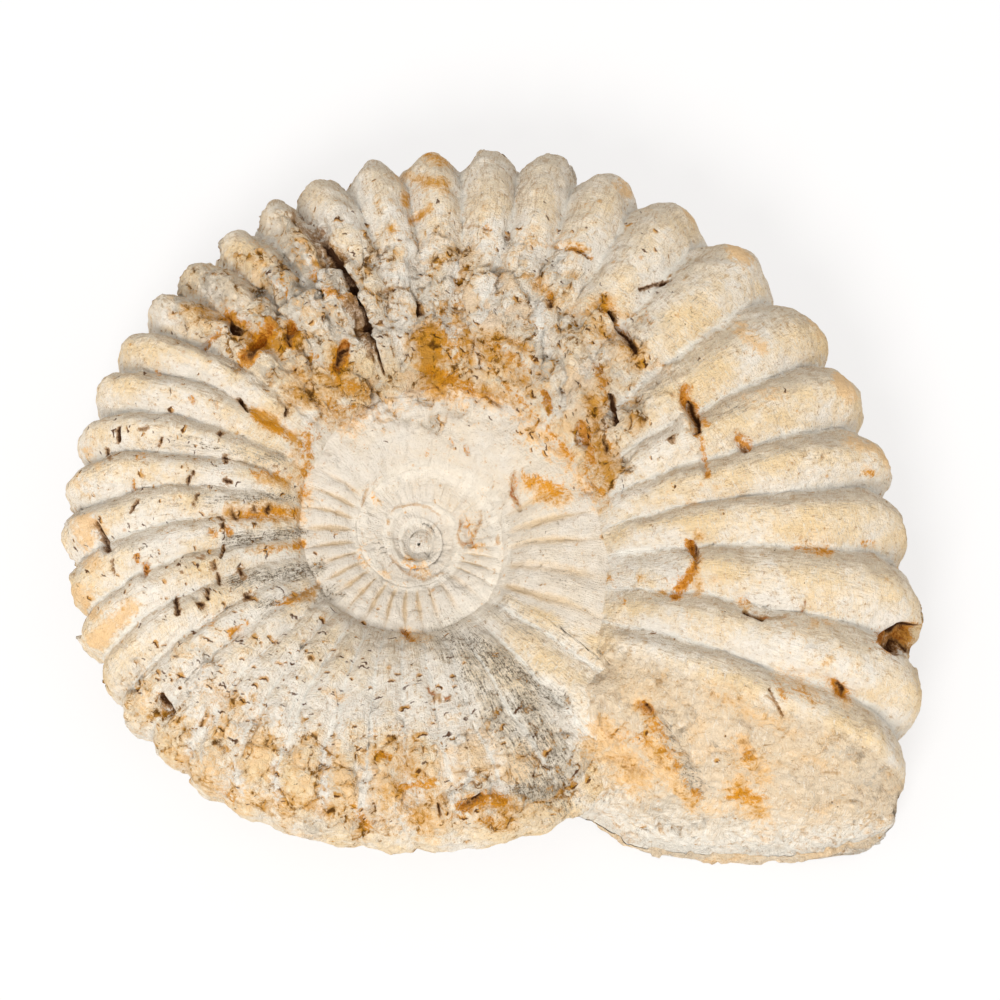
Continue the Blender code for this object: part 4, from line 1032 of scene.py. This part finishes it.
# Worm marks of two sizes: the cells they lie in, their reach and their half width, in millimetres. The shares
# are of the cells or of the reach.
SLITS = (3.4, 1.35, 0.28)
SMALL_SLITS = (1.7, 0.75, 0.17)
SLIT_CURL = 2.4
SMALL_SLIT_CURL = 1.5
SMALL_SLIT_SHARE = 0.45
SLIT_SHORTEST = 0.45
SLIT_TAPER = (0.5, 1.0)
SLIT_END_WIDTH = 0.35
SLIT_STAIN_TAPER = (0.6, 1.15)
SLIT_STAIN_OFF = 1.3
SLIT_STAIN_WIDTH = 3
SLIT_CLEAN_SHARE = 0.55
SPOTLESS_SHARE = 0.91
SPOT_FADE = (0.10, 0.55)

# The surface's finish.
ROUGHNESS = 0.88
CREST_POLISH = 0.5
SPECULAR = 0.12
BUMP_DISTANCE = 0.001


def limestone():
    """The stone's material. A coat's two numbers are where its sum of weighted terms sets in and is full."""
    material = bpy.data.materials.new("weathered_limestone")
    g = Graph(material, WHITE_STONE)
    at = g.node("ShaderNodeTexCoord", {}).outputs["Object"]
    place = g.node("ShaderNodeVectorMath", {0: at, "Scale": MM}, operation="SCALE").outputs[0]
    around, along, crest, rough, north = g.attributes("around", "along", "crest", "rough", "north")
    mouth, inner, filled, tint, wormy = g.attributes("mouth", "inner", "fill", "tint", "wormy")
    white, grey, peach, ochre, rust, ring, dirt_and_shade = g.attributes(
        "white", "grey", "peach", "ochre", "rust", "ring", "dirt_and_shade"
    )
    fibre_place = g.combined(around, g.times(along, FIBRE_STRETCH), g.times(crest, FIBRE_CREST_SHIFT))
    growth_place = g.combined(g.times(around, GROWTH_STRETCH), along, 0.0)
    broad, patch, mottle, speck, grain, bend, thread = (
        g.noise(place, *look) for look in (BROAD, PATCH, MOTTLE, SPECK, GRAIN, BEND, THREAD)
    )
    fibre = g.noise(fibre_place, *FIBRE)
    growth = g.noise(growth_place, *GROWTH)
    fill = g.times(g.step(filled, 0.05, 0.5), g.total(0.8, (mottle, 2.0)))
    plain = g.rest(g.math("MAXIMUM", g.times(inner, 0.55), g.times(fill, 0.9)))

    # Cream on the crests, white on the sides and grey where dust lies, with fine threads of tan and dust. The
    # first grey coat, and a little the tan threads, lie heavier on faces turned north, away from the lamp:
    # partly dust and partly painted shade.
    # Less cream where the white marks are, so the white along the umbilical wall at the top is partly painted
    # light.
    g.coat(CREAM, -0.35, 0.60, ((crest, 0.25), (broad, 1.6), (patch, 1.3), (mottle, 1.0), (white, -0.6)))
    g.paint(BEIGE, mouth, 0.85)
    g.coat(DUST_AND_SHADE, 0.05, 0.50, ((north, 0.75), (patch, 0.9), (mottle, 1.0), (fibre, 1.0), (broad, 0.5)), 0.75)
    dusty = ((patch, 1.8), (mottle, 1.8), (rough, 0.25), (growth, 0.8), (speck, 0.8), (mouth, -0.2))
    g.coat(DUST_AND_SHADE, 0.10, 0.50, dusty, 0.55, plain)
    g.coat(TAN, 0.12, 0.30, ((fibre, 2.0), (mottle, 0.9), (north, 0.15)), 0.48, plain)
    lined = ((patch, -1.5), (broad, 1.5), (rough, 0.25), (speck, 1.0))
    g.coat(TAN, -0.10, 0.25, lined, g.band(thread, 0.03, 0.016), 0.60)
    g.coat(TAN, 0.27, 0.40, ((speck, 1.5), (grain, 1.3), (mottle, 0.6)), 0.65, plain)
    g.coat(WHITE_STONE, 0.10, 0.24, ((growth, 1.8), (speck, 1.3), (crest, -0.10), (white, 0.15)), 0.70)

    # The inner turns: stone, pale ribs, tan grooves and the fill of their seams. The seams' fill is painted
    # pale, partly the fill's stone and partly painted light over the shade in the seams.
    g.paint(CENTRE_STONE, inner, 0.55)
    g.coat(PETAL, 0.45, 0.85, (crest,), inner, 0.5)
    # The tan in these grooves is partly their colour and partly painted shade in the grooves.
    groove = g.rest(g.step(g.total(crest, (mottle, 0.7), (speck, 0.5)), 0.30, 0.62))
    g.paint(PETAL_GROOVE, groove, inner, g.rest(g.step(grey, 0.08, 0.4)), 0.75)
    g.paint(SEAM_STONE_AND_LIGHT, fill, 0.65)

    # In the broken places each plate has its own tint.
    broken = g.step(g.total(rough, (patch, 1.2), (mottle, 1.2)), 0.30, 0.75)
    for low, high, strength, colour in PLATE_TINTS:
        g.coat(colour, low, high, (tint, (mottle, 1.2)), broken, strength)
    g.coat(PEACH_STONE, 0.48, 1.10, (peach, (patch, 1.2), (mottle, 1.9), (crest, 0.3), (speck, 0.8)), 0.9)
    # Grey and dark grey where the grey marks lie: grey stone and dark specks, and painted shade in the sunken
    # strip beside the crack and in the hollow of the mouth's stone.
    g.coat(GREY_STONE_AND_SHADE, 0.35, 0.95, (grey, (mottle, 1.2), (patch, 0.8), (fibre, 1.8), (speck, 0.8)), 0.85)
    dark_specks_and_shade = ((grey, 0.70), (grain, 1.5), (mottle, 1.2), (speck, 1.4), (fibre, 1.6))
    g.coat(DARK_GREY, 0.55, 0.85, dark_specks_and_shade, 0.85)

    # White veins along the grooves, and white streaks. The veins thin out a little on faces turned north, so
    # they favour the sides lit by the lamp: a touch of painted light.
    low = g.rest(g.step(g.total(crest, (mottle, 0.6)), 0.02, 0.26))
    veined = g.step(g.total((patch, 1.5), (broad, 1.0), (north, -0.2)), -0.45, 0.05)
    streak = g.step(g.total(white, (mottle, 1.2), (speck, 0.8)), 0.95, 1.35)
    g.paint(VEIN, g.math("MAXIMUM", g.times(low, veined, g.rest(inner), 0.8), g.times(streak, 0.8)))

    # Rust: ochre like a wash, brown at its heart, and thin along the edges of broken plates. The brown along
    # the plates' edges is partly painted shadow under their ledges.
    wash = (ochre, (rough, 0.20), (patch, 0.8), (mottle, 1.3), (speck, 1.0), (broad, 0.5))
    g.coat(PEACH_STONE, 0.18, 0.60, wash, 0.55)
    g.coat(OCHRE, 0.45, 1.05, wash, 0.9)
    stain = (rust, (patch, 0.9), (mottle, 1.9), (speck, 1.2))
    g.coat(ORANGE, 0.35, 0.85, stain, 0.9)
    g.coat(RUST_STONE, 0.90, 1.35, stain, 0.9)
    some = g.step(g.total((patch, 1.8), (mottle, 2.2), (broad, 1.0)), 0.0, 0.35)
    edged = g.times(broken, some, g.rest(g.times(mouth, 0.7)))
    for name, width in PLATE_EDGES:
        (edge,) = g.attributes(name)
        g.paint(OCHRE, g.rest(g.step(edge, 0.0, OCHRE_EDGE * width)), edged, 0.75)
        g.paint(BROWN, g.rest(g.step(edge, BROWN_EDGE * width, width)), edged, 0.85)
    g.coat(TAN, 0.2, 0.8, (ring, (mottle, 1.0), (speck, 0.8)), 0.62)
    g.coat(RUST_STONE, 0.75, 1.1, (ring, (speck, 0.8)), 0.8)

    # Worm marks: short curved cuts that run round the coil, some with a rusty side, and fine pits.
    normal = g.node("ShaderNodeNewGeometry", {}).outputs["Normal"]
    outwards = g.vector("SUBTRACT", place, (MM * AXIS_AT[0], MM * AXIS_AT[1], 0.0))[0]
    round_coil = g.vector("CROSS_PRODUCT", (0.0, 0.0, 1.0), outwards)[0]
    rib_way = g.vector("NORMALIZE", g.vector("CROSS_PRODUCT", normal, round_coil)[0])[0]
    share = g.total(-0.08, (wormy, 0.42), (patch, 1.1), (rough, 0.08))
    cut, side, spot = g.slits(place, rib_way, g.times(bend, SLIT_CURL), share, *SLITS)
    small_share = g.times(share, SMALL_SLIT_SHARE)
    small_curl = g.times(bend, SMALL_SLIT_CURL)
    small_cut, small_side, small_spot = g.slits(place, rib_way, small_curl, small_share, *SMALL_SLITS)
    spots = g.math("MAXIMUM", g.times(spot, 0.8), g.times(small_spot, 0.6))
    g.paint(OCHRE, spots, g.total(0.7, (mottle, 2.0)))
    g.paint(OCHRE, side, 0.8)
    g.paint(OCHRE, small_side, 0.6)
    g.paint(SLIT_BROWN, g.math("MAXIMUM", g.times(cut, 0.95), g.times(small_cut, 0.85)))
    pit = g.step(g.total((grain, 1.5), (speck, 1.5), (patch, 0.6), (wormy, 0.07)), 0.52, 0.64)
    # Dark paint where the dark marks are, a soft brown halo round a near-black core: dirt in the cracks, pits
    # and holes, and partly painted shade in the crack, the holes and the sunken strips beside the crack.
    grime_and_shade = g.total(dirt_and_shade, (mottle, 1.2), (speck, 0.8))
    g.paint(HALO, g.step(grime_and_shade, 0.10, 0.45), 0.8)
    g.paint(BROWN, g.math("MAXIMUM", g.times(pit, 0.8, plain), g.times(g.step(grime_and_shade, 0.35, 0.90), 0.95)))

    height = g.total(
        (fibre, 0.70), (growth, 0.42), (speck, 0.5), (mottle, 1.1), (g.times(mottle, rough), 0.9)
    )
    height = g.times(height, g.total(0.25, (plain, 0.75)))
    bump = g.node("ShaderNodeBump", {"Height": height, "Strength": 1.0, "Distance": BUMP_DISTANCE})
    surface = g.shader.inputs
    g.give(surface["Base Color"], g.colour)
    g.give(surface["Normal"], bump.outputs[0])
    g.give(surface["Roughness"], g.math("SUBTRACT", ROUGHNESS, g.times(crest, patch, CREST_POLISH)))
    g.give(surface["Metallic"], 0.0)
    g.give(surface["Specular IOR Level"], SPECULAR)
    return material


def add_floor():
    mesh = bpy.data.meshes.new("floor")
    corners = [(x * FLOOR_HALF, y * FLOOR_HALF, 0) for x, y in ((-1, -1), (1, -1), (1, 1), (-1, 1))]
    mesh.from_pydata(corners, [], [(0, 1, 2, 3)])
    material = bpy.data.materials.new("pale_floor")
    material.use_nodes = True
    surface = material.node_tree.nodes["Principled BSDF"].inputs
    surface["Base Color"].default_value = (*FLOOR_COLOUR, 1.0)
    surface["Roughness"].default_value = FLOOR_ROUGHNESS
    surface["Emission Color"].default_value = FLOOR_GLOW_COLOUR
    surface["Emission Strength"].default_value = FLOOR_GLOW
    mesh.materials.append(material)
    floor = bpy.data.objects.new("floor", mesh)
    bpy.context.scene.collection.objects.link(floor)


def add_studio():
    world = bpy.data.worlds.new("studio")
    world.use_nodes = True
    background = world.node_tree.nodes["Background"]
    background.inputs["Color"].default_value = SURROUND_COLOUR
    background.inputs["Strength"].default_value = SURROUND_STRENGTH
    bpy.context.scene.world = world
    light = bpy.data.lights.new("key", "AREA")
    light.shape = "DISK"
    light.size = LAMP_SIZE
    light.energy = LAMP_WATTS
    lamp = bpy.data.objects.new("key", light)
    lamp.location = LAMP_AT
    lamp.rotation_euler = (Vector(LAMP_AIM) - Vector(LAMP_AT)).to_track_quat("-Z", "Y").to_euler()
    bpy.context.scene.collection.objects.link(lamp)
    bpy.context.scene.view_settings.view_transform = "Standard"


def add_camera():
    tilt = math.radians(CAMERA_ELEVATION)
    target = Vector((AXIS_AT[0] + TARGET[0], AXIS_AT[1] + TARGET[1], TARGET[2]))
    back = Vector((0, -math.cos(tilt), math.sin(tilt)))
    data = bpy.data.cameras.new("camera")
    data.sensor_width = SENSOR
    data.lens = SENSOR * FOCAL_PIXELS / PICTURE_PIXELS
    data.clip_start = CAMERA_CLIP_START
    camera = bpy.data.objects.new("camera", data)
    camera.location = target + CAMERA_DISTANCE * back
    camera.rotation_euler = (math.pi / 2 - tilt, 0, 0)
    bpy.context.scene.collection.objects.link(camera)
    bpy.context.scene.camera = camera


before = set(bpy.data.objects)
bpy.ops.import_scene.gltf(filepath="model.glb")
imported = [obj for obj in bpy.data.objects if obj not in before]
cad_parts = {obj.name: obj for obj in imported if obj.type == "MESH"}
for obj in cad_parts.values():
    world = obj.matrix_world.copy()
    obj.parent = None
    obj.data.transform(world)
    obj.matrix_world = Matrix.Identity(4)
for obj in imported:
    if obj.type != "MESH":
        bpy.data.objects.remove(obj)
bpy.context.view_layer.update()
stone = build_ammonite()
stone.data.materials.clear()
stone.data.materials.append(limestone())
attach(stone, "root")
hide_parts("ammonite")
add_floor()
add_studio()
add_camera()
